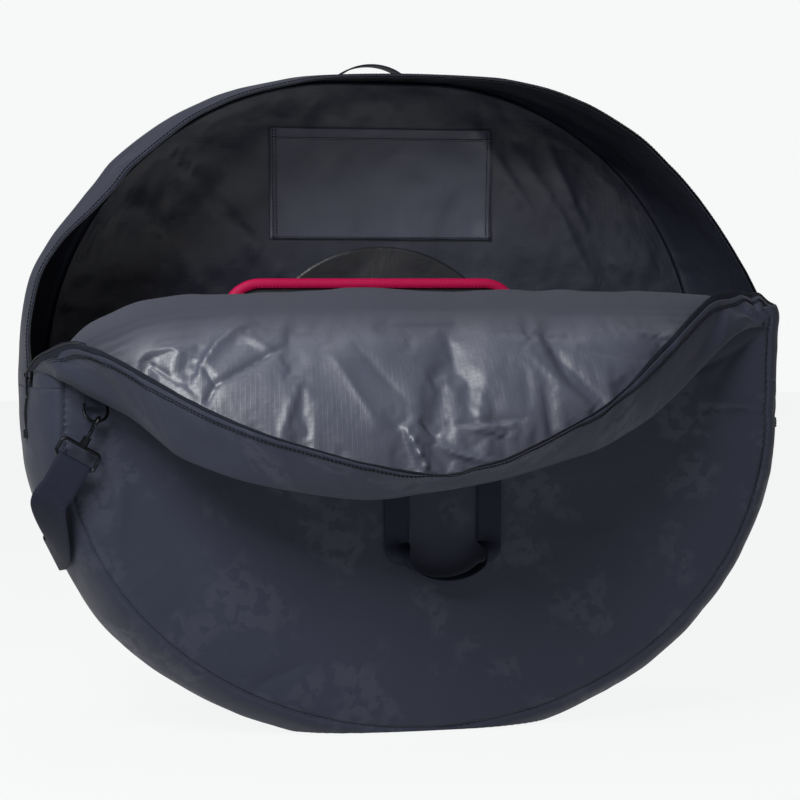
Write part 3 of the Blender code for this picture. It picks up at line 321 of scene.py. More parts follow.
def moulded_plastic(name, tone, roughness, grain_size):
    """One plain colour with the grain of its mould."""
    material, tree, shader = new_material(name)
    place = add_node(tree, "ShaderNodeTexCoord").outputs["Object"]
    grain = add_node(tree, "ShaderNodeTexNoise", {"Vector": place, "Scale": 1 / grain_size, "Detail": 2.0})
    rough = add_node(tree, "ShaderNodeValToRGB", {"Fac": grain},
                     stops=((0.3, roughness - 0.06), (0.7, roughness + 0.06)))
    relief = add_node(tree, "ShaderNodeBump", {"Height": grain, "Strength": 0.2, "Distance": 0.1 * MM})
    feed(tree, shader, {"Base Color": linear(tone), "Roughness": rough, "Normal": relief})
    return material


METAL = plated_metal()
COIL = moulded_plastic("nylon_zip_coil", "#0b0c10", 0.4, 0.8 * MM)
BOARD = moulded_plastic("polypropylene_board", "#17181b", 0.5, 1.6 * MM)


def dress(material, *names):
    for name in names:
        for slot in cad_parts[name].material_slots:
            slot.material = material


METAL_NODES = ("zip_slider", "zip_puller", "d_ring", "snap_hook", "snap_gate", "strap_buckle")
dress(METAL, "strap_adjuster", *[name + side for name in METAL_NODES for side in ("_left", "_right")])
dress(BOARD, "base_board")

# %% [markdown]
# ## The seam line
# One closed line carries the whole bag: the seam where each flat panel meets the gusset that runs round it. It is half
# an ellipse below, a short upright at each side, a quarter circle over each shoulder and a flat on top. It is worked
# out once, at even steps from the middle of the top, clockwise as the front is seen.

# %% The seam line
HALF_WIDTH = 0.400
WAIST = 0.345
BELLY_DROP = 0.342
SHOULDER = 0.385
RADIUS = 0.352
FLAT_HALF = HALF_WIDTH - RADIUS
DEPTH = 0.240
BULGE = 0.032
CROWN_SHARE = 0.2
STEPS = 900


def seam_pieces():
    """Points of the seam with the way that each moves outwards, for one metre of the gusset's bulge."""
    crown = []
    for side, first, last in ((1, math.pi / 2, 0.0), (-1, 0.0, math.pi / 2)):
        half = []
        for turn in np.linspace(first, last, 240):
            point = (side * (FLAT_HALF + RADIUS * math.cos(turn)), SHOULDER + RADIUS * math.sin(turn))
            way = (side * (1 - CROWN_SHARE + CROWN_SHARE * math.cos(turn)), CROWN_SHARE * math.sin(turn))
            half.append(point + way)
        crown.append(half)
    belly = []
    for turn in np.linspace(0.0, -math.pi, 600):
        belly.append((HALF_WIDTH * math.cos(turn), WAIST + BELLY_DROP * math.sin(turn), math.cos(turn), math.sin(turn)))
    top = [(0.0, SHOULDER + RADIUS, 0.0, CROWN_SHARE)]
    return np.array(top + crown[0] + belly + crown[1] + top)


def run_length(points):
    """How far each point of a line lies from its first one, measured along the line."""
    return np.r_[0.0, np.cumsum(np.linalg.norm(np.diff(points, axis=0), axis=1))]


def even_steps(line, count, closed=True):
    """The same line at this many even steps along its length, and that length."""
    lengths = run_length(line[:, :2])
    keep = np.r_[True, np.diff(lengths) > 1e-9]
    wanted = np.linspace(0.0, lengths[-1], count, endpoint=not closed)
    even = [np.interp(wanted, lengths[keep], line[keep, k]) for k in range(line.shape[1])]
    return np.stack(even, axis=1), lengths[-1]


def smooth_line(points, count):
    """A smooth curve through the given points, in this many steps from each to the next."""
    points = np.asarray(points, float)
    padded = np.vstack([points[:1], points, points[-1:]])
    result = []
    for index in range(len(points) - 1):
        p0, p1, p2, p3 = padded[index:index + 4]
        for step in range(count):
            t = step / count
            bend = (2 * p0 - 5 * p1 + 4 * p2 - p3) * t * t + (3 * p1 - p0 - 3 * p2 + p3) * t ** 3
            result.append(0.5 * (2 * p1 + (p2 - p0) * t + bend))
    return np.array(result + [points[-1]])


def unit(vectors):
    """The same directions, each of length one."""
    return vectors / np.linalg.norm(vectors, axis=-1, keepdims=True)


def even_line(points, count):
    """Even steps in space along a smooth curve through the given points."""
    fine = smooth_line(points, 24)
    lengths = run_length(fine)
    wanted = np.linspace(0.0, lengths[-1], count)
    return np.stack([np.interp(wanted, lengths, fine[:, k]) for k in range(3)], axis=1)


SEAM, SEAM_LENGTH = even_steps(seam_pieces(), STEPS)
seam_way = np.roll(SEAM[:, :2], -1, axis=0) - np.roll(SEAM[:, :2], 1, axis=0)
SEAM_NORMAL = unit(np.stack([-seam_way[:, 1], seam_way[:, 0]], axis=1))
SEAM_NORMAL *= np.sign((SEAM_NORMAL * (SEAM[:, :2] - (0.0, SHOULDER))).sum(axis=1))[:, None]
print("seam length", round(SEAM_LENGTH, 3), "m")

# %% [markdown]
# ## Creases
# Cloth gets three kinds of shape here. Slow swells come from a smooth random field with a fixed seed. Puckers run
# square to a seam, because the thread draws the longer cloth together, and die out within a few centimetres of it.
# Single creases are listed, each with its height, its two ends, its width and, where it isn't straight, its bend.


# %% Creases
def soft_field(x, y, z=0.0, seed=0):
    """Smooth random values from -1 to 1 on a grid of unit cells."""
    x, y, z = np.broadcast_arrays(np.asarray(x, float), np.asarray(y, float), np.asarray(z, float))
    cell = [np.floor(v).astype(np.int64) for v in (x, y, z)]
    part = [v - c for v, c in zip((x, y, z), cell)]
    part = [p * p * p * (p * (p * 6 - 15) + 10) for p in part]
    total = np.zeros_like(x)
    for corner in np.ndindex(2, 2, 2):
        mixed, weight = seed * 974711, 1.0
        for axis, prime in enumerate((374761393, 668265263, 2147483647)):
            mixed = mixed + (cell[axis] + corner[axis]) * prime
            weight = weight * (part[axis] if corner[axis] else 1 - part[axis])
        mixed = (mixed ^ (mixed >> 13)) * 1274126177
        total += (((mixed ^ (mixed >> 16)) & 0xFFFF) / 32767.5 - 1.0) * weight
    return total


def swells(x, y, size, seed, octaves=3):
    """Slow ups and downs of this size, with smaller ones on them."""
    total = 0.0
    for octave in range(octaves):
        total = total + soft_field(x / size * 2 ** octave, y / size * 2 ** octave, seed=seed + octave) / 2 ** octave
    return total


def puckers(place, away, seed, pitch=0.026, reach=0.05):
    """Folds square to a seam, by the nearest place on the seam (two numbers) and the distance away from it."""
    u, v = place
    wave = soft_field(u / pitch, v / pitch, away / 0.25, seed)
    wave = wave + 0.6 * soft_field(u / pitch * 2.3, v / pitch * 2.3, 0.0, seed + 3)
    strength = 0.35 + 0.65 * np.abs(soft_field(u / 0.16, v / 0.16, 0.5, seed + 5))
    return wave * strength * np.exp(-away / reach)


def crease(x, z, start, end, width, bend=0.0):
    """A single sharp fold between two points: a narrow ridge that fades towards its ends."""
    along = np.array(end) - np.array(start)
    length = np.linalg.norm(along)
    along = along / length
    dx, dz = x - start[0], z - start[1]
    t = (dx * along[0] + dz * along[1]) / length
    off = dx * along[1] - dz * along[0] + bend * np.sin(np.pi * np.clip(t, 0, 1))
    fade = np.clip(np.sin(np.pi * np.clip(t, 0, 1)), 0, 1) ** 0.6
    return np.exp(-np.abs(off) / width) * fade


def creased(x, z, listed):
    """The height of all the listed creases together. Below zero is a groove."""
    return sum(height * crease(x, z, *shape) for height, *shape in listed)


def grown(value, width):
    """0 at nothing, 1 from this width on, straight between."""
    return np.clip(value / width, 0.0, 1.0)


def rise(value, first, last):
    """0 below the first value, 1 above the last, smooth between."""
    t = np.clip((value - first) / (last - first), 0.0, 1.0)
    return t * t * (3 - 2 * t)


def bell(value, centre, width):
    """1 at the centre, and next to nothing two widths away from it."""
    return np.exp(-((value - centre) / width) ** 2)


# %% [markdown]
# ## Cloth from a grid
# Each sewn piece is a grid of points with a map that measures the cloth in metres, so that every weave has its real
# scale. A wall is then given to it by a Solidify modifier, towards its inner side.


# %% Cloth from a grid
BAG_MIDDLE = np.array([0.0, 0.0, 0.385])


def grid_cells(rows, columns, closed=False):
    """The numbers of the four corners of every cell of a grid. Closed joins the last column to the first."""
    i, j = np.meshgrid(np.arange(rows - 1), np.arange(columns if closed else columns - 1), indexing="ij")
    k = (j + 1) % columns
    corners = [i * columns + j, i * columns + k, (i + 1) * columns + k, (i + 1) * columns + j]
    return np.stack(corners, axis=2).reshape(-1, 4)


def new_piece(name, mesh):
    """An object for a mesh, in the scene."""
    piece = bpy.data.objects.new(name, mesh)
    bpy.context.collection.objects.link(piece)
    return piece


def cloth(name, grid, material, slot, thickness, core=BAG_MIDDLE, inner=False, closed=False, uv=None):
    """A mesh of a rows x columns grid of points, with its map. Its faces look away from the core, or towards it for an
    inner side, and its wall grows behind them. Closed joins the last column to the first."""
    rows, columns = grid.shape[:2]
    quads = map_quads = grid_cells(rows, columns, closed)
    if uv is None:
        across = np.r_[0.0, np.cumsum(np.linalg.norm(np.diff(grid, axis=0), axis=2).mean(axis=1))]
        along = run_length(grid[rows // 2])
        along = np.append(along, 2 * along[-1] - along[-2])[:columns + closed]
        uv = np.stack(np.meshgrid(along, across), axis=2)
        map_quads = grid_cells(rows, columns + closed)
    pairs = uv.reshape(-1, 2)[map_quads]
    points = grid.reshape(-1, 3)
    corners = points[quads]
    normal = np.cross(corners[:, 2] - corners[:, 0], corners[:, 3] - corners[:, 1])
    outwards = ((corners.mean(axis=1) - core) * normal).sum()
    if (outwards < 0) != inner:
        quads, pairs = quads[:, ::-1], pairs[:, ::-1]
    mesh = bpy.data.meshes.new(name)
    mesh.from_pydata(points, [], quads.tolist())
    mesh.uv_layers.new(name="cloth").data.foreach_set("uv", pairs.reshape(-1).astype(np.float32))
    mesh.shade_smooth()
    mesh.materials.append(material)
    piece = new_piece(name, mesh)
    if thickness:
        wall = piece.modifiers.new("wall", "SOLIDIFY")
        wall.thickness = thickness
        wall.offset = -1.0
    return piece


def sew_on(piece, body, *nodes):
    """The piece moves with a body of the bag and stands for these solids. One that bends between two bodies is given
    no body here."""
    if body:
        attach(piece, body)
    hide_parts(*nodes)
    print(piece.name, len(piece.data.polygons), "faces")


def cloth_tree(points):
    """The cloth of a grid, ready to be looked for along a line."""
    return BVHTree.FromPolygons(points.reshape(-1, 3).tolist(), grid_cells(*points.shape[:2]).tolist())


def between(lower, upper, rows, ease):
    """A grid from one line of points to another. Ease bends the spacing of its rows."""
    share = ease(np.linspace(0.0, 1.0, rows))[:, None, None]
    return lower[None] * (1 - share) + upper[None] * share


# %% [markdown]
# ## Cloth that finds its own folds
# A lining is cut larger than the foam that it covers, so it buckles into folds that nobody could draw. Blender's cloth
# does that here: the cloth grows by a few percent while its edges are held, and the foam behind it presses it
# outwards. Gravity is off, because foam holds the piece up, and no point may move further than the cap.


# %% Cloth that finds its own folds
CLOTH_RULES = {"quality": 5, "mass": 0.12, "tension_stiffness": 12, "compression_stiffness": 12, "shear_stiffness": 4,
               "bending_stiffness": 0.4, "air_damping": 4, "vertex_group_mass": "held", "use_pressure": True}
SETTLING_FRAMES = 20


def let_settle(grid, held, growth, pressure, cap):
    """The grid after its cloth, cut larger by this share, has found its folds. Held points stay where they are."""
    mesh = bpy.data.meshes.new("settling_cloth")
    mesh.from_pydata(grid.reshape(-1, 3), [], grid_cells(*grid.shape[:2])[:, [0, 3, 2, 1]].tolist())
    sheet = new_piece("settling_cloth", mesh)
    sheet.vertex_groups.new(name="held").add(np.flatnonzero(held.reshape(-1)).tolist(), 1.0, "REPLACE")
    settling = sheet.modifiers.new("settling", "CLOTH")
    for rule, value in CLOTH_RULES.items():
        setattr(settling.settings, rule, value)
    settling.settings.shrink_min = -growth
    settling.settings.uniform_pressure_force = pressure
    settling.settings.effector_weights.gravity = 0
    settling.collision_settings.use_collision = False
    settling.point_cache.frame_end = SETTLING_FRAMES
    for number in range(1, SETTLING_FRAMES + 1):
        bpy.context.scene.frame_set(number)
    settled = sheet.evaluated_get(bpy.context.evaluated_depsgraph_get()).data
    points = np.empty(len(settled.vertices) * 3, np.float32)
    settled.vertices.foreach_get("co", points)
    shift = points.reshape(grid.shape) - grid
    reach = np.linalg.norm(shift, axis=2, keepdims=True)
    bpy.data.objects.remove(sheet)
    bpy.context.scene.frame_set(1)
    print("cloth settled, most by %.4f m, half of it by %.4f m" % (reach.max(), np.median(reach)))
    return grid + shift * np.minimum(1.0, cap / np.maximum(reach, 1e-9))


def finer(grid):
    """The same grid with smooth points between its own, in both directions."""
    for axis in (0, 1):
        g = np.moveaxis(grid, axis, 0)
        before, after = np.concatenate([g[:1], g[:-2]]), np.concatenate([g[2:], g[-1:]])
        middle = (9 * (g[:-1] + g[1:]) - before - after) / 16
        mixed = np.empty((2 * len(g) - 1,) + g.shape[1:])
        mixed[0::2], mixed[1::2] = g, middle
        grid = np.moveaxis(mixed, 0, axis)
    return grid


# %% [markdown]
# ## Gusset
# The gusset is the long strip round the bag between the two panels. It bulges outwards between its seams and puckers
# along them. At a seam both cloths dive into a groove and cross there, which hides their cut edges as a real seam does.
# Below the zip's ends it is one strip from seam to seam. Above them the zip opens it near the front, and the strip
# behind the zip stands over the crown by itself.

# %% Gusset
OUTER = (CANVAS, "outer_fabric", 1.1 * MM)
# The inner walls use the lining with painted shade.
INNER = (SHADED_LINING, "lining_fabric", 0.9 * MM)
INNER_GAP = 0.0034
INNER_MARGIN = 0.06
ZIP_Y = -0.058
TAPE_HALF = 0.010
SEAM_DIP = 0.0040
SEAM_TUCK = 0.0035
ZIP_END = SHOULDER
FOLD_Z = 0.475
SAG = 0.015
LEFT_OUT = 0.006
CORNER_OUT = 0.012
CORNER_Z, CORNER_REACH = 0.462, 0.035
NIPS = ((0.441, 0.0022), (0.352, 0.0016))
NIP_REACH = 0.012


def pinch(x, z):
    """How far the right seam is drawn in at the two places where the cloth is nipped."""
    return np.where(x > 0, sum(size * bell(z, height, NIP_REACH) for height, size in NIPS), 0.0)


def sunk_in(x, z, y):
    """How far the open part has sunk inwards. Nothing holds its free edge out over the shoulders and the crown, but the
    zip's ends stay put, and the right front corner is pushed out by the flap that hangs from it."""
    free = grown(DEPTH / 2 - y, DEPTH / 2 - ZIP_Y)
    sunk = SAG * np.where(x < 0, rise(z, 0.50, 0.62), rise(z, 0.43, 0.58)) * free ** 1.3
    left = LEFT_OUT * np.where(x < 0, bell(z, 0.49, 0.05), 0.0) * free
    corner = CORNER_OUT * np.where(x > 0, bell(z, CORNER_Z, CORNER_REACH), 0.0) * (1.0 if y < ZIP_Y else 0.0)
    return sunk - left - corner + pinch(x, z) * rise(-y, 0.0, 0.06)


def gusset_grid(columns, shares, inward):
    """Points of the gusset for these places along the seam and shares of its depth, pushed inwards by so much."""
    index = np.asarray(columns)
    base, way = SEAM[index, :2], SEAM[index, 2:]
    normal = SEAM_NORMAL[index]
    x, z = base[:, 0], base[:, 1]
    grid = np.zeros((len(shares), len(index), 3))
    for row, share in enumerate(shares):
        y = -DEPTH / 2 * math.cos(math.pi * share)
        bulge = BULGE * math.sin(math.pi * share)
        edge = min(DEPTH / 2 + y, DEPTH / 2 - y)
        from_seam = math.hypot(bulge, edge)
        relief = 0.0026 * puckers((x, z), np.full(len(index), edge), 3, reach=0.034) * grown(edge, 0.004)
        slow = swells(x, z, 0.13, 23) + soft_field(x / 0.1, z / 0.1, y / 0.05, 29)
        relief = relief - 0.0028 * slow * grown(edge, 0.04) + 0.002 * (1 - rise(z, 0.45, 0.60)) * grown(edge, 0.03)
        calm = 1 - bell(z, 0.398, 0.028) * bell(y, ZIP_Y, 0.03)
        push = inward + SEAM_DIP * math.exp(-from_seam / 0.004) - relief * calm + sunk_in(x, z, y)
        flat = base + way * bulge - normal * push[:, None]
        grid[row, :, 0] = flat[:, 0]
        grid[row, :, 1] = y - math.copysign(SEAM_TUCK * math.exp(-from_seam / 0.003), y)
        grid[row, :, 2] = np.maximum(flat[:, 1], inward * 0.6)
    return grid


def depth_share(y):
    """The share of the gusset's depth at which it has this y."""
    return math.acos(-y / (DEPTH / 2)) / math.pi


def seam_index(x_side, z):
    """The step of the seam at a height on the right (1) or left (-1)."""
    error = np.abs(SEAM[:, 1] - z) + 10.0 * (np.sign(SEAM[:, 0]) != x_side)
    return int(error.argmin())


def seam_spaced(first, last, count):
    """Shares of the depth that crowd towards the seams, where the cloth dives and puckers."""
    t = np.linspace(0.0, 1.0, count)
    return first + (last - first) * (0.5 - 0.5 * np.cos(np.pi * t)) * 0.8 + (last - first) * t * 0.2


right_end, left_end = seam_index(1, ZIP_END), seam_index(-1, ZIP_END)
LOWER = np.arange(right_end, left_end + 1)
CROWN = np.r_[np.arange(left_end, STEPS), np.arange(0, right_end + 1)]
behind_zip = depth_share(ZIP_Y + TAPE_HALF)
before_zip = depth_share(ZIP_Y - TAPE_HALF)
for part, columns, first, rows in (("lower", LOWER, 0.0, 64), ("rear", CROWN, behind_zip, 50)):
    outer = cloth("gusset_" + part, gusset_grid(columns, seam_spaced(first, 1.0, rows), 0.0), *OUTER)
    sew_on(outer, "bag", part + "_gusset_shell")
    shares = seam_spaced(max(first, INNER_MARGIN), 1.0 - INNER_MARGIN, 40)
    inner = cloth("gusset_" + part + "_lining", gusset_grid(columns, shares, INNER_GAP), *INNER, inner=True)
    sew_on(inner, "bag", part + "_gusset_lining")

# %% [markdown]
# ## Back panel
# The back is one padded panel. Outside it lies flat between its seams. Inside, the lining is cut a little larger than
# the foam, so it crumples.

# %% Back panel
PANEL_Y = DEPTH / 2 + 0.0015
LINING_Y = 0.1124
RIM = 0.0016
LINING_RIM = 0.0036
BACK_FOLDS = ((1, (0.16, 0.66), (0.27, 0.48), 0.012, 0.01), (1, (0.2, 0.68), (0.31, 0.5), 0.009, -0.012),
              (-1, (0.24, 0.6), (0.34, 0.42), 0.012), (1, (0.1, 0.7), (0.2, 0.56), 0.008),
              (1, (-0.3, 0.6), (-0.2, 0.45), 0.012, 0.01), (1, (-0.26, 0.66), (-0.12, 0.5), 0.01))


def seam_ease(t):
    """Rows crowd a little towards both ends, where the seams are."""
    return 0.5 * t + 0.5 * (0.5 - 0.5 * np.cos(np.pi * t))


def flat_map(x, z):
    """The map of a cloth that was cut flat."""
    return np.stack([x, z], axis=2)


def nearest_on(points, line, batch=20000):
    """How far each point of a grid lies from a line of points, and the number of the nearest of them."""
    flat = points.reshape(-1, line.shape[1])
    away, number = np.empty(len(flat)), np.empty(len(flat), int)
    for first in range(0, len(flat), batch):
        gap = ((flat[first:first + batch, None, :] - line[None]) ** 2).sum(axis=2)
        number[first:first + batch] = gap.argmin(axis=1)
        away[first:first + batch] = np.sqrt(gap.min(axis=1))
    return away.reshape(points.shape[:2]), number.reshape(points.shape[:2])


def panel_grid(lower, upper, rows):
    """The x and z of a grid from one flat line to another."""
    flat = between(lower, upper, rows, seam_ease)
    return flat[..., 0], flat[..., 1]


def panel_points(columns, rows, inset, top=None):
    """The x and z of points all over a panel, how far each lies inside the seam, and the nearest place on it. The grid
    goes from the panel's lower half up to its upper half, which runs straight across where the panel has a top."""
    line = SEAM[:, :2] - SEAM_NORMAL * inset
    cut_right, cut_left = seam_index(1, WAIST), seam_index(-1, WAIST)
    top_left, top_right = (STEPS - 1, 0) if top is None else (seam_index(-1, top), seam_index(1, top))
    lower = line[cut_right:cut_left + 1][::-1]
    upper = np.r_[line[cut_left:top_left + 1], line[top_right:cut_right + 1]]
    x, z = panel_grid(*[even_steps(path, columns, closed=False)[0] for path in (lower, upper)], rows)
    away, number = nearest_on(flat_map(x, z), SEAM[::3, :2])
    return x, z, away, (SEAM[::3, 0][number], SEAM[::3, 1][number])


def canvas_out(away, along, pucker, seed):
    """How far out a panel's canvas lies: it dives into the seam and puckers beside it."""
    dive = 0.0045 * np.exp(-(away - RIM) / 0.003)
    return PANEL_Y - dive + pucker * puckers(along, away, seed) * grown(away, 0.004)


x, z, away, along = panel_points(300, 110, RIM)
depth = canvas_out(away, along, 0.0012, 31) - 0.0022 * (0.5 + 0.5 * swells(x, z, 0.16, 33)) * grown(away, 0.05)
back_outer = cloth("back_panel", np.stack([x, depth, z], axis=2), *OUTER, uv=flat_map(x, z))
sew_on(back_outer, "bag", "back_panel_shell", "back_panel_foam")


# %% Back panel's lining
def back_lining_y(x, z, away, along):
    """How deep the back lining lies: it swells over the foam, puckers at the seam and has a few long folds."""
    rumple = 0.0035 * swells(x, z, 0.09, 41, 4) + 0.0025 * puckers(along, away, 43, pitch=0.03, reach=0.07)
    folds = 0.006 * creased(x, z, BACK_FOLDS)
    return np.minimum(LINING_Y - 0.003 - (rumple + folds) * grown(away, 0.02), LINING_Y)


x, z, away, along = panel_points(150, 56, LINING_RIM)
lying = let_settle(np.stack([x, back_lining_y(x, z, away, along), z], axis=2), away < 0.006, 0.018, 0.4, 0.012)
back_points = finer(lying)
back_points[..., 1] = np.minimum(back_points[..., 1], LINING_Y)
back_inner = cloth("back_panel_inside", back_points, *INNER, inner=True, uv=finer(flat_map(x, z)))
sew_on(back_inner, "bag", "back_panel_lining", "back_seam_tape")

# %% [markdown]
# ## Front panel
# Below the fold the front is the same padded panel. The cloth is a little slack here, because the open flap's weight
# pulls on its top edge.

# %% Front panel
FOLD_SEAT = 0.00969
PANEL_TOP = FOLD_Z - FOLD_SEAT
FRONT_DENTS = ((1.3, (0.40, 0.351), (0.315, 0.355), 0.0025), (-0.8, (0.40, 0.358), (0.33, 0.362), 0.004),
               (0.9, (0.385, 0.440), (0.30, 0.395), 0.005, 0.006), (0.7, (0.385, 0.440), (0.33, 0.37), 0.006, -0.006),
               (0.8, (-0.38, 0.39), (-0.31, 0.33), 0.008, -0.008), (-0.6, (-0.36, 0.33), (-0.34, 0.22), 0.012, 0.01),
               (0.8, (-0.20, 0.055), (-0.13, 0.085), 0.006), (0.5, (-0.24, 0.075), (-0.16, 0.05), 0.008, 0.004))


def drooped(x, y, z):
    """The panel's points once the open flap has pulled its left corner down and pushed its right one out."""
    fall = 0.085 * grown(-x - 0.29, 0.14) ** 1.6 * rise(z, SHOULDER, SHOULDER + 0.08)
    out = CORNER_OUT * bell(z, CORNER_Z, CORNER_REACH) * rise(x, 0.28, 0.38)
    return np.stack([x + out - pinch(x, z) * rise(x, 0.33, 0.385), y, z - fall], axis=2)


x, z, away, along = panel_points(300, 110, RIM, PANEL_TOP)
depth = canvas_out(away, along, 0.0010, 51)
depth = depth + 0.003 * swells(x, z, 0.2, 53) * grown(away, 0.06) * grown(PANEL_TOP - z, 0.03)
depth = depth - 0.003 * creased(x, z, FRONT_DENTS) * grown(away, 0.01)
front_outer = cloth("front_panel", drooped(x, -depth, z), *OUTER, uv=flat_map(x, z))
sew_on(front_outer, "bag", "front_panel_shell", "front_panel_foam")

x, z, away, along = panel_points(260, 90, LINING_RIM, PANEL_TOP)
depth = LINING_Y - 0.003 - 0.003 * swells(x, z, 0.1, 61, 3) * grown(away, 0.02)
front_inner = cloth("front_panel_inside", drooped(x, np.maximum(-depth, -LINING_Y), z), *INNER, inner=True,
                    uv=flat_map(x, z))
sew_on(front_inner, "bag", "front_panel_lining", "front_seam_tape")

# %% [markdown]
# ## Flap
# The flap is the upper part of the front with its strip of gusset. Unzipped, it hangs from the fold, and a soft thing
# never hangs straight: the left corner is dragged down to the foot of the zip, and the right one stays up. So the flap
# is drawn from three lines in space: the fold over the panel's top edge, the seam round the crown, and the free edge.

# %% Flap lines
FOLD_LINE = ((-0.395, -0.120, 0.431), (-0.371, -0.128, 0.455), (-0.340, -0.132, 0.469), (-0.308, -0.134, 0.480),
             (-0.254, -0.130, 0.486), (-0.145, -0.128, 0.489), (-0.034, -0.128, 0.490), (0.080, -0.128, 0.489),
             (0.195, -0.129, 0.488), (0.302, -0.128, 0.485), (0.344, -0.125, 0.479), (0.376, -0.118, 0.462))
SEAM_LINE = ((-0.403, -0.124, 0.397), (-0.383, -0.138, 0.383), (-0.360, -0.154, 0.371), (-0.333, -0.176, 0.356),
             (-0.307, -0.201, 0.333), (-0.288, -0.215, 0.318), (-0.249, -0.232, 0.302), (-0.209, -0.239, 0.290),
             (-0.147, -0.246, 0.278), (-0.105, -0.249, 0.273), (-0.073, -0.248, 0.273), (-0.041, -0.247, 0.277),
             (0.003, -0.244, 0.282), (0.048, -0.239, 0.289), (0.083, -0.235, 0.297), (0.129, -0.228, 0.309),
             (0.165, -0.222, 0.319), (0.196, -0.214, 0.333), (0.232, -0.203, 0.352), (0.268, -0.188, 0.377),
             (0.300, -0.172, 0.402), (0.328, -0.158, 0.424), (0.351, -0.146, 0.440), (0.370, -0.136, 0.448),
             (0.389, -0.129, 0.451))
ZIP_LINE = ((-0.433, -0.060, 0.402), (-0.426, -0.105, 0.419), (-0.407, -0.150, 0.434), (-0.381, -0.182, 0.433),
            (-0.349, -0.206, 0.418), (-0.310, -0.226, 0.396), (-0.261, -0.241, 0.369), (-0.213, -0.263, 0.347),
            (-0.154, -0.282, 0.327), (-0.115, -0.292, 0.315), (-0.075, -0.300, 0.306), (-0.040, -0.302, 0.301),
            (-0.012, -0.301, 0.301), (0.021, -0.297, 0.309), (0.055, -0.291, 0.320), (0.102, -0.278, 0.339),
            (0.151, -0.262, 0.363), (0.186, -0.244, 0.385), (0.222, -0.220, 0.414), (0.255, -0.199, 0.439),
            (0.287, -0.176, 0.463), (0.311, -0.155, 0.479), (0.328, -0.142, 0.488), (0.350, -0.122, 0.491),
            (0.382, -0.095, 0.490), (0.414, -0.074, 0.482), (0.433, -0.066, 0.469))
LEAN = math.radians(30)
FLAP_NORMAL = np.array([0.0, -math.cos(LEAN), math.sin(LEAN)])
IN_FRONT = np.array([0.0, -1.0, 0.3])
FLAP_FOAM = 0.0105
PANEL_CLEAR_Y = -0.1270
NARROW = 0.06
FLAP_SPAN = 0.92


def flap_grid(rows, columns):
    """The flap between its fold and its seam, each point's place down the cloth and along it, and how far it lies from
    the seam."""
    fold_side, seam_side = even_line(FOLD_LINE, columns), even_line(SEAM_LINE, columns)
    reach = np.linalg.norm(seam_side - fold_side, axis=1)
    start = fold_side + np.array([0.0, -0.0165, -0.0163]) * np.clip(reach / NARROW, 0.2, 1.0)[:, None]
    end = seam_side + (start - seam_side) * 0.004 / np.maximum(reach, 0.02)[:, None]
    grid = between(start, end, rows, seam_ease)
    down = np.cumsum(np.r_[np.zeros((1, columns)), np.linalg.norm(np.diff(grid, axis=0), axis=2)], axis=0)
    along = np.broadcast_to(np.linspace(0.0, FLAP_SPAN, columns), down.shape)
    return grid, down, along, nearest_on(grid, grid[-1])[0]


grid, down, along, away = flap_grid(70, 260)
set_back = FLAP_FOAM * grown(away, 0.012) + 0.001 * puckers((along, 0.0), away, 71) * grown(away, 0.004)
back_face = grid - FLAP_NORMAL * set_back[..., None]
back_face[..., 1] = np.minimum(back_face[..., 1], PANEL_CLEAR_Y)
flap_outer = cloth("flap", back_face[:, :-8], *OUTER, core=IN_FRONT, uv=flat_map(grid[..., 0], down)[:, :-8])
sew_on(flap_outer, "flap", "flap_shell", "flap_foam")

# %% [markdown]
# ## Flap band
# Round the flap's crown goes the front part of the gusset, which ends in the zip. Nothing holds it out any more. At the
# left it lies folded over the lining, at the crown it stands nearly square to the flap, and at the right it twists
# under the corner. Its cross-section is a bent line from the seam to the free edge.

# %% Flap band
CORNER_NIP = (0.389, 0.449)
BAND_CORE = np.array([0.0, -0.17, 0.45])
BAND_WIDTH = 0.062
BAND_SPAN = 0.95
BAND_END = 0.85
BAND_COLUMNS = 300
BAND_SHARES = np.r_[-1.0, -0.75, -0.5, -0.3, -0.12, 0.0, 0.02, 0.045, np.linspace(0.08, BAND_END, 24)]
ROLLED_ROWS = 5


def band_ripple(along, reach, seed):
    """How far the band's cloth stands off its smooth shape, by the place along it and the reach from its seam."""
    ripple = 0.0034 * puckers((np.broadcast_to(along, reach.shape), 0.0), reach, seed, 0.03, 0.05)
    ripple = ripple + 0.0030 * soft_field(along / 0.09, reach / 0.05, seed=seed + 2)
    ripple = ripple + 0.0022 * soft_field(along / 0.035, reach / 0.03, seed=seed + 4)
    ripple = ripple + 0.0005 * soft_field(along / 0.007, reach / 0.02, seed=seed + 6) * rise(reach, 0.03, 0.045)
    return ripple + 0.005 * soft_field(along / 0.05, reach / 0.04, seed=seed + 8) * bell(along, 0.12, 0.06)


def corner_fan(grid):
    """Folds that fan out from the nipped right corner."""
    aside, above = grid[..., 0] - CORNER_NIP[0], grid[..., 2] - CORNER_NIP[1]
    off = np.hypot(aside, above)
    return 0.0050 * np.sin(7.0 * np.arctan2(above, -aside) + 0.6) * grown(off, 0.02) * np.exp(-off / 0.045)


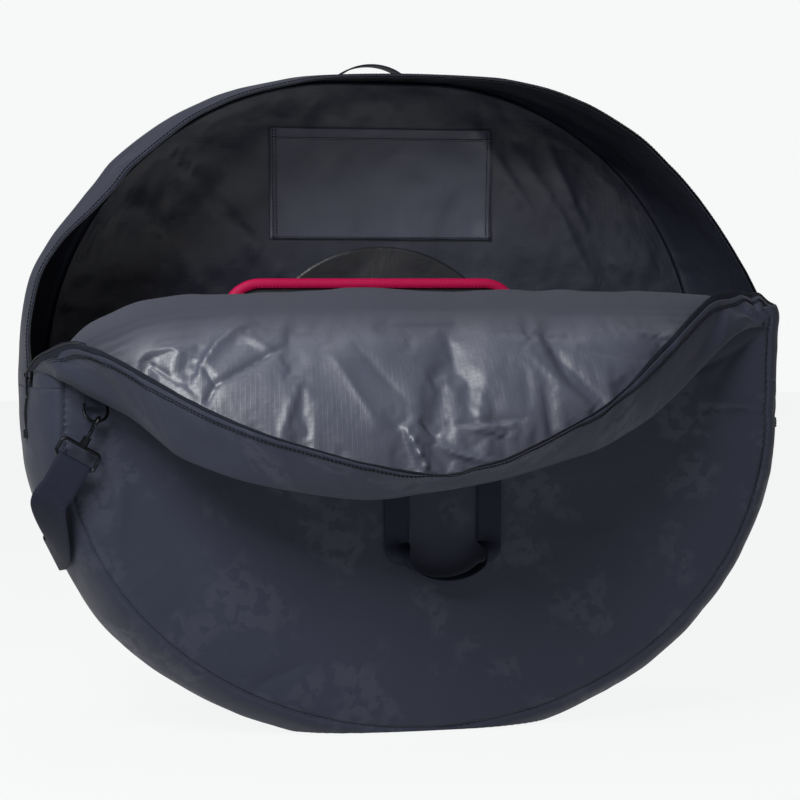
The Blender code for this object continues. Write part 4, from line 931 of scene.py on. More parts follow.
def band_grid(shares, columns=BAND_COLUMNS, lift=0.0, seed=91):
    """The flap's strip of gusset at these shares of its width, standing off its outer face by so much. Shares below
    zero roll under the seam."""
    seam_side, free_side = even_line(SEAM_LINE, columns), even_line(ZIP_LINE, columns)
    start = np.linspace(0.0, 1.0, columns)[:, None]
    stand = (0.024 + 0.012 * bell(start, 0.08, 0.06)) * rise(start, -0.01, 0.06) - 0.014 * rise(start, 0.80, 0.97)
    dragged = np.array([-0.6, -0.8, 0.0]) * (0.022 * bell(start, 0.03, 0.05))
    control = (seam_side + free_side) / 2 + FLAP_NORMAL * stand + dragged
    t = np.asarray(shares, float)[:, None, None]
    rolled, t = np.clip(-t, 0.0, 1.0), np.clip(t, 0.0, 1.0)
    under = [0 * rolled, 0.010 * rolled, 0.005 * rolled ** 2 - 0.0035 * np.sin(np.pi * rolled)]
    grid = (1 - t) ** 2 * seam_side + 2 * t * (1 - t) * control + t ** 2 * free_side + np.concatenate(under, axis=2)
    cross = 2 * (1 - t) * (control - seam_side) + 2 * t * (free_side - control)
    normal = unit(np.cross(np.gradient(seam_side, axis=0)[None], cross))
    along = np.linspace(0.0, BAND_SPAN, columns)[None, :]
    reach = np.broadcast_to(BAND_WIDTH * t[..., 0], (len(t), columns))
    ripple = (band_ripple(along, reach, seed) + corner_fan(grid)) * grown(reach, 0.016)
    ripple = ripple - 0.0016 * np.exp(-reach / 0.003)
    return grid + normal * (ripple + lift)[..., None]


band_points = band_grid(BAND_SHARES)
band = cloth("flap_band", band_points, *OUTER, core=BAND_CORE)
sew_on(band, None, "flap_band_shell")
inner_points = band_grid(np.linspace(INNER_MARGIN, BAND_END, 20), lift=-0.0024)[:, 30:290]
band_inner = cloth("flap_band_inside", inner_points, *INNER, core=BAND_CORE, inner=True)
sew_on(band_inner, None, "flap_band_lining")


# %% [markdown]
# ## Flap lining and fold
# The lining is what shows best. It comes up from inside the panel, goes over the fold, and lies down the flap over
# foam, with long soft swells, a sharp crease where the bag was packed flat, and puckers all along the seam. It is one
# piece of cloth with the fold, which spans two bodies, so it is given neither. It is drawn first, then left to settle,
# and last of all kept under the band that is folded over it.

# %% Flap lining and fold
ARCH = ((0.0200, -0.0340), (0.0200, -0.0250), (0.0190, -0.0155), (0.0155, -0.0078), (0.0085, -0.0022), (0.0, 0.0),
        (-0.0070, -0.0025), (-0.0120, -0.0085))
FLAP_FOLDS = ((0.009, (-0.055, 0.150), (-0.030, 0.205), 0.004), (0.007, (-0.20, 0.02), (-0.27, 0.10), 0.010, 0.012),
              (0.006, (-0.24, 0.03), (-0.17, 0.09), 0.009, -0.010), (0.005, (-0.16, 0.10), (-0.19, 0.17), 0.012),
              (0.006, (0.09, 0.06), (0.16, 0.13), 0.014, 0.01), (0.006, (-0.02, 0.17), (0.06, 0.19), 0.006, 0.006),
              (0.005, (0.0, 0.15), (0.07, 0.165), 0.007))


def flap_relief(x, down, away, along):
    """How far the lining stands off the flap before it settles."""
    rumple = 0.0030 * swells(x, down, 0.15, 81, 3) + 0.0024 * puckers((along, 0.0), away, 83, pitch=0.030, reach=0.05)
    pillow = 0.006 * grown(away, 0.05) ** 0.7
    lines = 0.0011 * soft_field(x / 0.16, down / 0.008, seed=85) * rise(down, 0.002, 0.010)
    lines = lines * (1 - rise(down, 0.03, 0.06))
    return 0.002 + (pillow + rumple + creased(x, down, FLAP_FOLDS)) * grown(away, 0.015) * grown(down, 0.02) + lines


def kept_under(points, base, cover, gap, deepest, look_from=0.012, look_far=0.09):
    """Points that stand off the base no further than the underside of the cover, less a gap."""
    tree = cloth_tree(cover)
    result = points.copy()
    up = Vector(FLAP_NORMAL)
    for place in np.ndindex(points.shape[:2]):
        height = float((points[place] - base[place]) @ FLAP_NORMAL)
        hit = tree.ray_cast(Vector(base[place]) - up * look_from, up, look_far)
        if hit[0] is not None:
            allowed = max(hit[3] - look_from - gap, -deepest)
            if height > allowed:
                result[place] += FLAP_NORMAL * (allowed - height)
    return result


PRESSED = ((-0.0060, (-0.171, 0.057), (-0.252, 0.101), 0.0035), (-0.0040, (-0.262, 0.072), (-0.249, 0.100), 0.0030),
           (-0.0045, (-0.247, 0.094), (-0.262, 0.120), 0.0040), (-0.0070, (-0.037, 0.145), (-0.016, 0.163), 0.0030),
           (-0.0040, (-0.320, 0.050), (-0.284, 0.095), 0.0050), (0.0030, (-0.300, 0.045), (-0.255, 0.070), 0.0040),
           (0.0045, (-0.130, 0.060), (-0.080, 0.160), 0.0100), (-0.0035, (-0.100, 0.055), (-0.045, 0.130), 0.0080),
           (-0.0050, (0.000, 0.148), (0.085, 0.143), 0.0030), (0.0040, (0.010, 0.156), (0.070, 0.152), 0.0030),
           (-0.0040, (0.120, 0.060), (0.175, 0.125), 0.0070), (-0.0025, (-0.200, 0.030), (-0.130, 0.040), 0.0030),
           (-0.0025, (0.060, 0.040), (0.160, 0.046), 0.0030), (-0.0030, (0.150, 0.060), (0.230, 0.075), 0.0040))


# %% The lining settles
LINING_COLUMNS, LINING_ROWS = 160, 48
grid, down, along, away = flap_grid(LINING_ROWS, LINING_COLUMNS)
lying = grid + FLAP_NORMAL * flap_relief(grid[..., 0], down, away, along)[..., None]
held = np.ones(down.shape, bool)
held[1:-1, 1:-1] = False
settled = let_settle(lying, held, 0.024, 1.5, 0.014)
lying = lying + (settled - lying) * rise(down, 0.0, 0.06)[..., None]
down, lying = finer(down[..., None])[..., 0], finer(lying)
lying = lying + FLAP_NORMAL * creased(lying[..., 0], down, PRESSED)[..., None]
lying = kept_under(lying, finer(grid), band_points[ROLLED_ROWS:], 0.0060, 0.0092)
print("lining lies down to", round(float(lying[..., 2].min()), 3), "m")

# %% Over the fold
columns = lying.shape[1]
top = even_line(FOLD_LINE, columns)
narrow = np.clip(np.linalg.norm(lying[-1] - top, axis=1) / NARROW, 0.2, 1.0)[:, None]
arch = []
for step, (forward, up) in enumerate(ARCH):
    sag = 0.0022 * soft_field(top[:, 0] / 0.09, 0.0, seed=97) + 0.0014 * soft_field(top[:, 0] / 0.03, step / 4, seed=98)
    row = top + np.array([0.0, forward, up]) * (narrow if step > 5 else 1.0)
    row[:, 2] += sag * math.sin(math.pi * step / 9)
    arch.append(row)
before_fold = np.broadcast_to(-0.006 * np.arange(len(ARCH), 0, -1)[:, None], (len(ARCH), columns))
shown = slice(0, columns - 14)
lining_grid = np.concatenate([arch, lying])[:, shown]
length_down = np.concatenate([before_fold, down])[:, shown]
flap_lining = cloth("flap_inside_and_fold", lining_grid, LINING, "lining_fabric", 1.0 * MM,
                    uv=flat_map(np.broadcast_to(lining_grid[-40, :, 0], length_down.shape), length_down))
sew_on(flap_lining, None, "flap_lining", "flap_fold_roll")

# %% [markdown]
# ## Zip tapes
# A coil zip is two woven tapes with a nylon coil sewn along one edge of each. Only a narrow tape shows between the
# canvas and the coil. The rear half goes over the crown, and the flap's half hangs with the flap. Two short lengths
# stay on the bag, between the foot of the zip and the fold.

# %% Zip tapes
TAPE = (ZIP_TAPE, "zip_tape", 0.8 * MM)
TAPE_LIFT = 0.0006
COIL_INSET = 1.2 * MM
RIGHT_WING = np.arange(seam_index(1, PANEL_TOP + 0.004), right_end + 1)
LEFT_WING = np.arange(left_end, seam_index(-1, SHOULDER + 0.022) + 1)
for name, columns, first, last, rows, node in (
        ("zip_tape_over_crown", CROWN, ZIP_Y + COIL_INSET, ZIP_Y + TAPE_HALF + 0.004, 5, "zip_tape_rear"),
        ("zip_tape_front_part", RIGHT_WING, ZIP_Y - TAPE_HALF - 0.002, ZIP_Y - COIL_INSET, 4, "zip_tape_front_right")):
    shares = [depth_share(y) for y in np.linspace(first, last, rows)]
    sew_on(cloth(name, gusset_grid(columns, shares, TAPE_LIFT), *TAPE), "bag", node)
flap_tape = cloth("zip_tape_on_flap", band_grid(np.linspace(0.80, 1.0, 6), lift=-0.0012), *TAPE, core=BAND_CORE)
sew_on(flap_tape, None, "zip_tape_flap", "zip_tape_front_left")

# %% [markdown]
# ## Wings of the gusset
# In front of the zip's foot the gusset goes on up as a narrow wing at each side: up to the fold at the right, and only
# as far as the dragged corner at the left.

# %% Wings of the gusset
for label, columns in (("right", RIGHT_WING), ("left", LEFT_WING)):
    for part, inward, margin, kind in (("", 0.0, 0.0, OUTER), ("_inside", INNER_GAP, INNER_MARGIN, INNER)):
        grid = gusset_grid(columns, seam_spaced(margin, before_zip, 26), inward)
        sew_on(cloth("gusset_wing_" + label + part, grid, *kind, inner=bool(part)), "bag")

# %% [markdown]
# ## Zip teeth
# A coil is one nylon wire bent into hundreds of equal loops, so Geometry Nodes lay one small tooth again and again
# along the tape's edge. Real loops are 1.4 mm apart. They are drawn 2 mm apart, which still reads as a coil here.


# %% Repeating along a line
def line_object(name, lines):
    """Open lines as edges, each point with the direction that lies across its tape."""
    points, edges, across = [], [], []
    for line, side in lines:
        first = len(points)
        points += line.tolist()
        across += np.broadcast_to(side, line.shape).tolist()
        edges += [(first + n, first + n + 1) for n in range(len(line) - 1)]
    mesh = bpy.data.meshes.new(name)
    mesh.from_pydata(points, edges, [])
    across = np.array(across, np.float32).reshape(-1)
    mesh.attributes.new("across", "FLOAT_VECTOR", "POINT").data.foreach_set("vector", across)
    return new_piece(name, mesh)


def repeat_tree(name, sides, lengthwise):
    """A node tree that lays one short rod again and again along lines: along them for a stitch, across for a tooth."""
    tree = bpy.data.node_groups.new(name, "GeometryNodeTree")
    face = tree.interface
    face.new_socket("Geometry", in_out="OUTPUT", socket_type="NodeSocketGeometry")
    face.new_socket("Geometry", in_out="INPUT", socket_type="NodeSocketGeometry")
    for title, kind in (("Pitch", "Float"), ("Length", "Float"), ("Thickness", "Float"), ("Unevenness", "Float"),
                        ("Seed", "Int"), ("Material", "Material")):
        face.new_socket(title, in_out="INPUT", socket_type="NodeSocket" + kind)
    given = add_node(tree, "NodeGroupInput").outputs
    curve = add_node(tree, "GeometryNodeMeshToCurve", {"Mesh": given["Geometry"]})
    steps = add_node(tree, "GeometryNodeResampleCurve", {"Curve": curve, "Length": given["Pitch"]}, mode="LENGTH")
    half = add_node(tree, "ShaderNodeMath", {0: given["Thickness"], 1: 0.5}, operation="MULTIPLY")
    rod = add_node(tree, "GeometryNodeMeshCylinder", {"Vertices": sides, "Radius": half, "Depth": given["Length"]})
    smooth = add_node(tree, "GeometryNodeSetShadeSmooth", {"Geometry": rod})
    tangent = add_node(tree, "GeometryNodeInputTangent").outputs[0]
    across = add_node(tree, "GeometryNodeInputNamedAttribute", {"Name": "across"}, data_type="FLOAT_VECTOR")
    main = tangent if lengthwise else across.outputs["Attribute"]
    turn = add_node(tree, "FunctionNodeAlignRotationToVector", {"Vector": main}, axis="Z")
    wobble = add_node(tree, "FunctionNodeRandomValue", {"Seed": given["Seed"]}, data_type="FLOAT_VECTOR")
    centred = add_node(tree, "ShaderNodeVectorMath", {0: wobble.outputs["Value"], 1: (-0.5, -0.5, -0.5)},
                       operation="ADD")
    small = add_node(tree, "ShaderNodeVectorMath", {0: centred, "Scale": given["Unevenness"]}, operation="SCALE")
    both = add_node(tree, "FunctionNodeRotateRotation", {"Rotation": turn, "Rotate By": small})
    laid = add_node(tree, "GeometryNodeInstanceOnPoints", {"Points": steps, "Instance": smooth, "Rotation": both})
    real = add_node(tree, "GeometryNodeRealizeInstances", {"Geometry": laid})
    dressed = add_node(tree, "GeometryNodeSetMaterial", {"Geometry": real, "Material": given["Material"]})
    add_node(tree, "NodeGroupOutput", {"Geometry": dressed})
    return tree


def lay_along(name, tree, lines, slot, **sizes):
    """Run the tree over the lines and keep the result as a plain mesh."""
    piece = line_object(name, lines)
    nodes = piece.modifiers.new("repeat", "NODES")
    nodes.node_group = tree
    for item in tree.interface.items_tree:
        if item.in_out == "INPUT" and item.name in sizes:
            nodes[item.identifier] = sizes[item.name]
    bpy.context.view_layer.update()
    plain = bpy.data.meshes.new_from_object(piece.evaluated_get(bpy.context.evaluated_depsgraph_get()))
    piece.modifiers.clear()
    piece.data = plain
    print(name, len(plain.polygons), "faces")
    return piece


TEETH = repeat_tree("coil_loops_along_a_tape", 6, lengthwise=False)
STITCHES = repeat_tree("stitches_along_a_seam", 5, lengthwise=True)
TOOTH = {"Pitch": 2.0 * MM, "Length": 2.6 * MM, "Thickness": 1.3 * MM, "Unevenness": 0.04, "Seed": 3, "Material": COIL}

rear_line = gusset_grid(CROWN, [depth_share(ZIP_Y + 2.0 * MM)], COIL_INSET)[0]
rear_teeth = lay_along("zip_coil_over_crown", TEETH, [(rear_line, (0.0, 1.0, 0.0))], "zip_coil", **TOOTH)
sew_on(rear_teeth, "bag", "zip_coil_rear")
inner_edge, outer_edge = band_grid([0.93, 0.975], 500, lift=-0.0022)
flap_teeth = lay_along("zip_coil_on_flap", TEETH, [(outer_edge, unit(outer_edge - inner_edge))], "zip_coil", **TOOTH)
sew_on(flap_teeth, None, "zip_coil_flap")

# %% [markdown]
# ## Webbing
# Handles, ring tabs and the shoulder strap are flat polyester webbing. Each is a strip whose middle line and width
# direction are known at every step, which keeps its width the same however it twists.

# %% Webbing
WEBBING_THICK = 1.8 * MM
PANEL_FACE = 0.1215
SEWN_GAP = 0.3 * MM


def strip(name, middle, across, width, cells=6):
    """A closed band of webbing: both faces and its edges, from its middle line and the direction of its width."""
    middle, across = np.asarray(middle, float), unit(np.asarray(across, float))
    tangent = unit(np.gradient(middle, axis=0))
    across = unit(across - tangent * (across * tangent).sum(axis=1)[:, None])
    normal = np.cross(tangent, across)
    half, side = width / 2, WEBBING_THICK / 4
    outline = [(t * half, 2 * side) for t in np.linspace(-0.97, 0.97, cells)] + [(half, side)]
    outline += [(-s, -t) for s, t in outline]
    outline = outline[:cells + 1] + [(half, -side)] + outline[cells + 1:] + [(-half, side)]
    count = len(outline)
    rings = np.array([[middle[n] + across[n] * s + normal[n] * t for s, t in outline] for n in range(len(middle))])
    quads = grid_cells(len(middle), count, closed=True)
    reach = np.array([s for s, t in outline] + [outline[0][0]])
    maps = np.stack(np.meshgrid(run_length(middle), reach, indexing="ij"), axis=2).reshape(-1, 2)
    pairs = maps[grid_cells(len(middle), count + 1)].reshape(-1, 2)
    last = (len(middle) - 1) * count
    faces = quads.tolist() + [tuple(range(count))[::-1], tuple(range(last, last + count))]
    pairs = np.concatenate([pairs, maps[:count][::-1], maps[-count - 1:-1]])
    mesh = bpy.data.meshes.new(name)
    mesh.from_pydata(rings.reshape(-1, 3), [], faces)
    mesh.uv_layers.new(name="cloth").data.foreach_set("uv", pairs.reshape(-1).astype(np.float32))
    mesh.materials.append(WEBBING)
    mesh.shade_smooth()
    mesh.set_sharp_from_angle(angle=math.radians(50))
    if (np.cross(rings[0, 1] - rings[0, 0], rings[1, 0] - rings[0, 0]) @ normal[0]) < 0:
        mesh.flip_normals()
    piece = new_piece(name, mesh)
    return piece


# %% [markdown]
# ## Carry handles
# Each handle is one length of webbing, sewn flat to the panel at both ends. Its legs lie flat. Along the bow the
# webbing has turned on edge, because that is how a hand leaves it.

# %% Carry handles
HANDLE_WIDTH = 27 * MM
HANDLE_SPACING = 0.105
HANDLE_DROP = 0.281
HANDLE_CORNER = 0.040
ANCHOR = 55 * MM
PATCH_Y = PANEL_FACE + SEWN_GAP + WEBBING_THICK / 2
LOOP_Y = PATCH_Y + WEBBING_THICK + SEWN_GAP
# Name, middle, height of the sewn ends, and the way: -1 hangs down in front, 1 stands up behind.
HANDLES = (("front", 0.016, 0.452, -1), ("back", -0.007, 0.476, 1))


def handle_line(centre_x, top, way):
    """The middle line of a handle and the direction of its width, from one sewn end to the other."""
    half = HANDLE_SPACING / 2
    straight = HANDLE_DROP - HANDLE_CORNER
    middle, across = [], []
    for share in np.linspace(0.0, 1.0, 20)[:-1]:
        middle.append((centre_x - half, way * LOOP_Y, top + way * straight * share))
        across.append((1.0, 0.0, 0.0))
    for turn in np.linspace(math.pi, 0.0, 50):
        twist = min(1.0, 1.6 * math.sin(turn)) * math.pi / 2
        lift = way * HANDLE_WIDTH / 2 * math.sin(twist)
        middle.append((centre_x + half * math.cos(turn), way * LOOP_Y + lift,
                       top + way * (straight + HANDLE_CORNER * math.sin(turn))))
        hand = 1.0 if turn > math.pi / 2 else -1.0
        across.append((hand * math.cos(twist), way * math.sin(twist), 0.0))
    for share in np.linspace(1.0, 0.0, 20)[1:]:
        middle.append((centre_x + half, way * LOOP_Y, top + way * straight * share))
        across.append((-1.0, 0.0, 0.0))
    return np.array(middle), np.array(across)


for label, centre_x, top, way in HANDLES:
    handle = strip(label + "_carry_handle", *handle_line(centre_x, top, way), HANDLE_WIDTH, cells=8)
    sew_on(handle, label + "_handle", label + "_handle")
    for side, name in ((-1, "left"), (1, "right")):
        x = centre_x + side * HANDLE_SPACING / 2
        line = np.array([(x, way * PATCH_Y, top - ANCHOR * share) for share in np.linspace(0, 1, 8)])
        patch = strip(label + "_handle_end_" + name, line, np.tile((1.0, 0.0, 0.0), (8, 1)), HANDLE_WIDTH)
        sew_on(patch, "bag", label + "_handle_anchor_" + name)

# %% [markdown]
# ## Ring tabs and shoulder strap
# A tab of narrow webbing holds each D-ring. The strap is folded round its buckle, goes down and round the side of the
# bag, and comes back up behind it to the other buckle.

# %% Ring tabs and shoulder strap
RING_CENTRE = 0.366
RING_BAR = 0.368
RING_WIRE = 1.8 * MM
RING_TAB_WIDTH = 20 * MM
TAB_LENGTH = 0.045
STRAP_WIDTH = 38 * MM
STRAP_TAIL = 0.034
FRAME_WIRE = 2.0 * MM
HOOK_TILT = math.radians(30)
HOOK_LENGTH = 0.0080 + 0.0124
BUCKLE_DROP = 0.0490
bar = np.array([-RING_CENTRE, -(PANEL_FACE + 0.6 * MM + WEBBING_THICK + RING_WIRE + 1.2 * MM), RING_BAR])


def turned(points, half_turns):
    """Points of the left front corner, or their like at the right back one."""
    points = np.asarray(points, float)
    return points * (-1, -1, 1) if half_turns else points


def ring_tab():
    """The middle line of a ring's tab: up the bag, round the ring's bar and back up on itself."""
    wrap = RING_WIRE + SEWN_GAP + WEBBING_THICK / 2
    turn = np.linspace(0.0, math.pi, 12)
    path = [(bar[0], -PATCH_Y, RING_BAR + TAB_LENGTH * share) for share in (1.0, 0.66, 0.33)]
    path += [(bar[0], bar[1] + wrap * math.cos(a), RING_BAR - wrap * math.sin(a)) for a in turn]
    over_y = -PATCH_Y - WEBBING_THICK - SEWN_GAP
    path += [(bar[0], over_y, RING_BAR + TAB_LENGTH * share) for share in (0.33, 0.66, 1.0)]
    return np.array(path)


for half_turns, label in ((0, "left"), (1, "right")):
    path = turned(ring_tab(), half_turns)
    tab = strip("tab_of_ring_" + label, path, np.tile((1.0, 0.0, 0.0), (len(path), 1)), RING_TAB_WIDTH)
    sew_on(tab, "bag", "ring_tab_" + label)


# %% The strap's ends
def buckle_bar(lean):
    """The place of a buckle's lower bar, the way down from it and the way along it, in the left front corner."""
    seat = bar + HOOK_LENGTH * np.array([0.0, -math.sin(HOOK_TILT), -math.cos(HOOK_TILT)])
    down = np.array([-math.sin(lean), 0.0, -math.cos(lean)])
    return seat + down * BUCKLE_DROP, down, np.array([math.cos(lean), 0.0, -math.sin(lean)])


def bar_turn(place, down, out):
    """The strap's end round a buckle bar: its tail next to the bag, over the bar, and off along the outer side."""
    wrap = FRAME_WIRE + SEWN_GAP + WEBBING_THICK / 2
    near = (WEBBING_THICK + 2 * SEWN_GAP) / 2
    turn = np.linspace(math.pi, 0.0, 12)
    path = [place - out * near + down * STRAP_TAIL * share for share in (1.0, 0.8, 0.6)]
    path += [place + out * (wrap * math.cos(a)) - down * (wrap * math.sin(a)) for a in turn]
    return np.array(path + [place + out * near + down * STRAP_TAIL * share for share in (0.6, 0.8, 1.0)])


left_bar, left_down, left_along = buckle_bar(math.radians(30))
right_bar, right_down, right_along = [turned(v, 1) for v in buckle_bar(math.radians(-28))]
front = np.array([0.0, -1.0, 0.0])
start = bar_turn(left_bar, left_down, front)
end = bar_turn(right_bar, right_down, -front)[::-1]
print("strap from", start[0].round(3), "to", end[-1].round(3))

# %% The strap's way round
# Round the side: turn over the gusset in shares of a half turn, height in shares of the waist's, and clearance.
SIDE_ROUTE = ((0.25, 0.610, 1.6), (0.40, 0.575, 1.2), (0.55, 0.560, 1.0), (0.74, 0.552, 1.7), (0.90, 0.545, 2.6))
SIDE_CLEARANCE = 0.0060
# Up the back: x in shares of the half width, height in shares of the waist's.
BACK_ROUTE = ((-0.86, 0.470), (-0.66, 0.340), (-0.46, 0.240), (-0.32, 0.215), (-0.18, 0.215), (-0.04, 0.215),
              (0.10, 0.220), (0.26, 0.270), (0.46, 0.400), (0.64, 0.550), (0.80, 0.700))
BACK_CLEARANCE = 0.012


def on_gusset(height, turn, clearance):
    """The place over the left gusset at this height and turn, a little off the cloth."""
    normal = unit(np.array([-math.cos(turn) / (DEPTH / 2), math.sin(turn) / BULGE]))
    y = -DEPTH / 2 * math.cos(turn) + normal[0] * clearance
    out = BULGE * math.sin(turn) + normal[1] * clearance
    share = (WAIST - height) / (BELLY_DROP + out)
    return np.array([-(HALF_WIDTH + out) * math.sqrt(1.0 - share * share), y, height])


route, lean = [start[-1], start[-1] + 0.020 * left_down + (0.0, 0.002, 0.0)], [left_along, left_along]
for share, height, clearance in SIDE_ROUTE:
    middle, low, high = [on_gusset(WAIST * height + shift, math.pi * share, SIDE_CLEARANCE * clearance)
                         for shift in (0.0, -STRAP_WIDTH / 2, STRAP_WIDTH / 2)]
    route.append(middle)
    lean.append(unit(low - high))
lean[2] = unit(0.4 * left_along + 0.6 * lean[2])
for share, height in BACK_ROUTE:
    route.append(np.array([HALF_WIDTH * share, PANEL_FACE + BACK_CLEARANCE, WAIST * height]))
    lean.append(np.array([0.0, 0.0, -1.0]))
last_along = right_along if right_along[2] < 0 else -right_along
run, leans = smooth_line(route + [end[0]], 10), smooth_line(lean + [last_along], 10)
across = np.vstack([np.tile(left_along, (len(start) - 1, 1)), leans, np.tile(last_along, (len(end) - 1, 1))])
strap = strip("shoulder_strap_webbing", np.vstack([start[:-1], run, end[1:]]), across, STRAP_WIDTH, cells=10)
sew_on(strap, "bag", "shoulder_strap")

# %% [markdown]
# ## Divider
# A foam panel keeps the two wheels apart. It is a soft pad between two covers, and a crimson tape bound round its edge
# is the one bright thing on the bag.

# %% Divider
DIVIDER_X = -0.035
DIVIDER_HALF = 0.176
DIVIDER_TOP = 0.500
DIVIDER_CORNER = 0.045
GUSSET_STACK = 0.0028
DIVIDER_CORE = np.array([DIVIDER_X, 0.0, 0.25])
BINDING_SECTION = ((-0.0100, 0.0058), (-0.0050, 0.0060), (-0.0005, 0.0056), (0.0012, 0.0040), (0.0020, 0.0),
                   (0.0012, -0.0040), (-0.0005, -0.0056), (-0.0050, -0.0060), (-0.0100, -0.0058))


def foot_height(x):
    """How high the divider's foot stands on the gusset at this x."""
    share = np.minimum(1.0, np.abs(x) / (HALF_WIDTH + BULGE))
    return np.maximum(WAIST - (BELLY_DROP + BULGE) * np.sqrt(1.0 - share ** 2), 0.0) + GUSSET_STACK + 0.0035


def divider_edges(count):
    """The divider's foot and its bound edge, left to right, at matching steps."""
    turn = np.linspace(0.0, math.pi / 2, 24)
    right = np.stack([DIVIDER_X + DIVIDER_HALF - DIVIDER_CORNER * (1 - np.cos(turn)),
                      DIVIDER_TOP - DIVIDER_CORNER * (1 - np.sin(turn))], axis=1)
    left = right * (-1, 1) + (2 * DIVIDER_X, 0)
    x = np.linspace(DIVIDER_X - DIVIDER_HALF, DIVIDER_X + DIVIDER_HALF, count)
    foot = np.stack([x, foot_height(x)], axis=1)
    return foot, even_steps(np.vstack([foot[:1], left, right[::-1], foot[-1:]]), count, closed=False)[0]


def divider_sway(x, z):
    """How far the divider stands out of its plane, more towards its top."""
    return 0.003 * soft_field(x / 0.09, z / 0.4, seed=104) * grown(z, 0.5) ** 2


def divider_grid(side, count=160, rows=70):
    """One face of the divider, puffed by its foam."""
    x, z = panel_grid(*divider_edges(count), rows)
    share = np.linspace(0, 1, rows)[:, None]
    rim = np.minimum(share, 1 - share) * 0.3
    puff = 0.0045 - 0.0012 * np.exp(-rim / 0.01) + 0.001 * swells(x, z, 0.09, 101 + side, 3)
    return np.stack([x, side * puff + divider_sway(x, z), z], axis=2)


for side, label, nodes in ((-1, "front", ("divider_cover_front", "divider_foam")),
                           (1, "back", ("divider_cover_back",))):
    face = cloth("divider_face_" + label, divider_grid(side), GUARD_CLOTH, "hub_guard", 1.0 * MM, core=DIVIDER_CORE)
    sew_on(face, "divider", *nodes)

edge = divider_edges(260)[1]
sway = divider_sway(edge[:, 0], edge[:, 1])
out = np.gradient(edge, axis=0)
out = unit(np.stack([-out[:, 1], out[:, 0]], axis=1))
out *= np.sign((out * (edge - (DIVIDER_X, 0.25))).sum(axis=1))[:, None]


def beside_edge(reach, y):
    """A line along the divider's edge, this far outside it and off its middle."""
    return np.stack([edge[:, 0] + out[:, 0] * reach, y + sway, edge[:, 1] + out[:, 1] * reach], axis=1)


binding = cloth("divider_edge_tape", np.array([beside_edge(reach, y) for reach, y in BINDING_SECTION]), BINDING,
                "crimson_binding", 0.9 * MM, core=DIVIDER_CORE)
sew_on(binding, "divider", "divider_binding")

# %% [markdown]
# ## Pocket and hub guards
# A flat pocket of paler cloth is sewn to the back lining, and round guards of tougher cloth lie where the hubs rub.
# Both are thin, so they follow the lining that they are sewn to, a little above it.


# %% Pocket and hub guards
POCKET_HALF, POCKET_LOW, POCKET_TOP, HEM_LOW = 0.135, 0.548, 0.680, 0.666
HUB_Z = 0.375
GUARDS = {"hub_guard_on_back": 0.165, "hub_guard_on_front": 0.078}
BACK_TREE = cloth_tree(back_points)


def back_cloth_y(x, z):
    """How deep the back lining lies at these places, looked for from the bag's middle."""
    y = np.full(x.shape, LINING_Y)
    for place in np.ndindex(x.shape):
        hit = BACK_TREE.ray_cast(Vector((x[place], 0.0, z[place])), Vector((0.0, 1.0, 0.0)), 0.2)
        if hit[0] is not None:
            y[place] = hit[0].y
    return y


def sewn_inside(name, x, y, z, material, slot, thickness, closed=False):
    """A flat piece of cloth whose right side looks into the bag."""
    return cloth(name, np.stack([x, y, z], axis=2), material, slot, thickness, inner=True, closed=closed,
                 uv=flat_map(x, z))


def disc(radius, centre_z, rings, spokes):
    """The x and z of a round, as rings of points."""
    reach = np.linspace(0.002, radius, rings)[:, None]
    turn = np.linspace(0.0, 2 * math.pi, spokes, endpoint=False)[None, :]
    return reach * np.cos(turn), centre_z + reach * np.sin(turn)


x, z = np.meshgrid(np.linspace(-POCKET_HALF, POCKET_HALF, 90), np.linspace(POCKET_LOW, POCKET_TOP, 50))
slack = 0.0016 + 0.0015 * (0.5 + 0.5 * swells(x, z, 0.05, 111, 3))
pocket = sewn_inside("pocket_cloth", x, back_cloth_y(x, z) - slack, z, POCKET_CLOTH, "pocket_fabric", 0.7 * MM)
sew_on(pocket, "bag", "pocket_panel")
x, z = np.meshgrid(np.linspace(-POCKET_HALF, POCKET_HALF, 90), np.linspace(HEM_LOW, POCKET_TOP, 8))
hem = sewn_inside("pocket_top_hem", x, back_cloth_y(x, z) - 0.0032, z, POCKET_CLOTH, "pocket_fabric", 0.9 * MM)
sew_on(hem, "bag", "pocket_hem")

x, z = disc(GUARDS["hub_guard_on_back"], HUB_Z, 40, 120)
guard = sewn_inside("hub_guard_on_back", x, back_cloth_y(x, z) - 0.0014, z, GUARD_CLOTH, "hub_guard", 0.8 * MM, True)
sew_on(guard, "bag", "hub_guard_back")
x, z = disc(GUARDS["hub_guard_on_front"], HUB_Z, 24, 90)
guard = sewn_inside("hub_guard_on_front", x, np.full(x.shape, 0.0075 - LINING_Y), z, GUARD_CLOTH, "hub_guard", 0.8 * MM,
                    True)
sew_on(guard, "bag", "hub_guard_front")

# %% [markdown]
# ## Pull cords
# A short braided cord is looped through each slider's wire puller and knotted at its end.

# %% Pull cords
CORD_POINTS = ((0.0, 0.0), (0.0006, -0.0042), (0.0012, -0.0085), (0.0015, -0.0128), (0.0016, -0.0170),
               (0.0015, -0.0213), (0.0012, -0.0256), (0.0006, -0.0299), (0.0, -0.0340))
CORD_THICK = 2.8 * MM
CORD_TOP = np.array([0.43309, -0.058, 0.39767 - (0.026 - 0.0011 + 0.0003)])
KNOT_RADIUS, KNOT_CORD, KNOT_TURNS, KNOT_HEIGHT = 2.6 * MM, 1.5 * MM, 3, 8.6 * MM


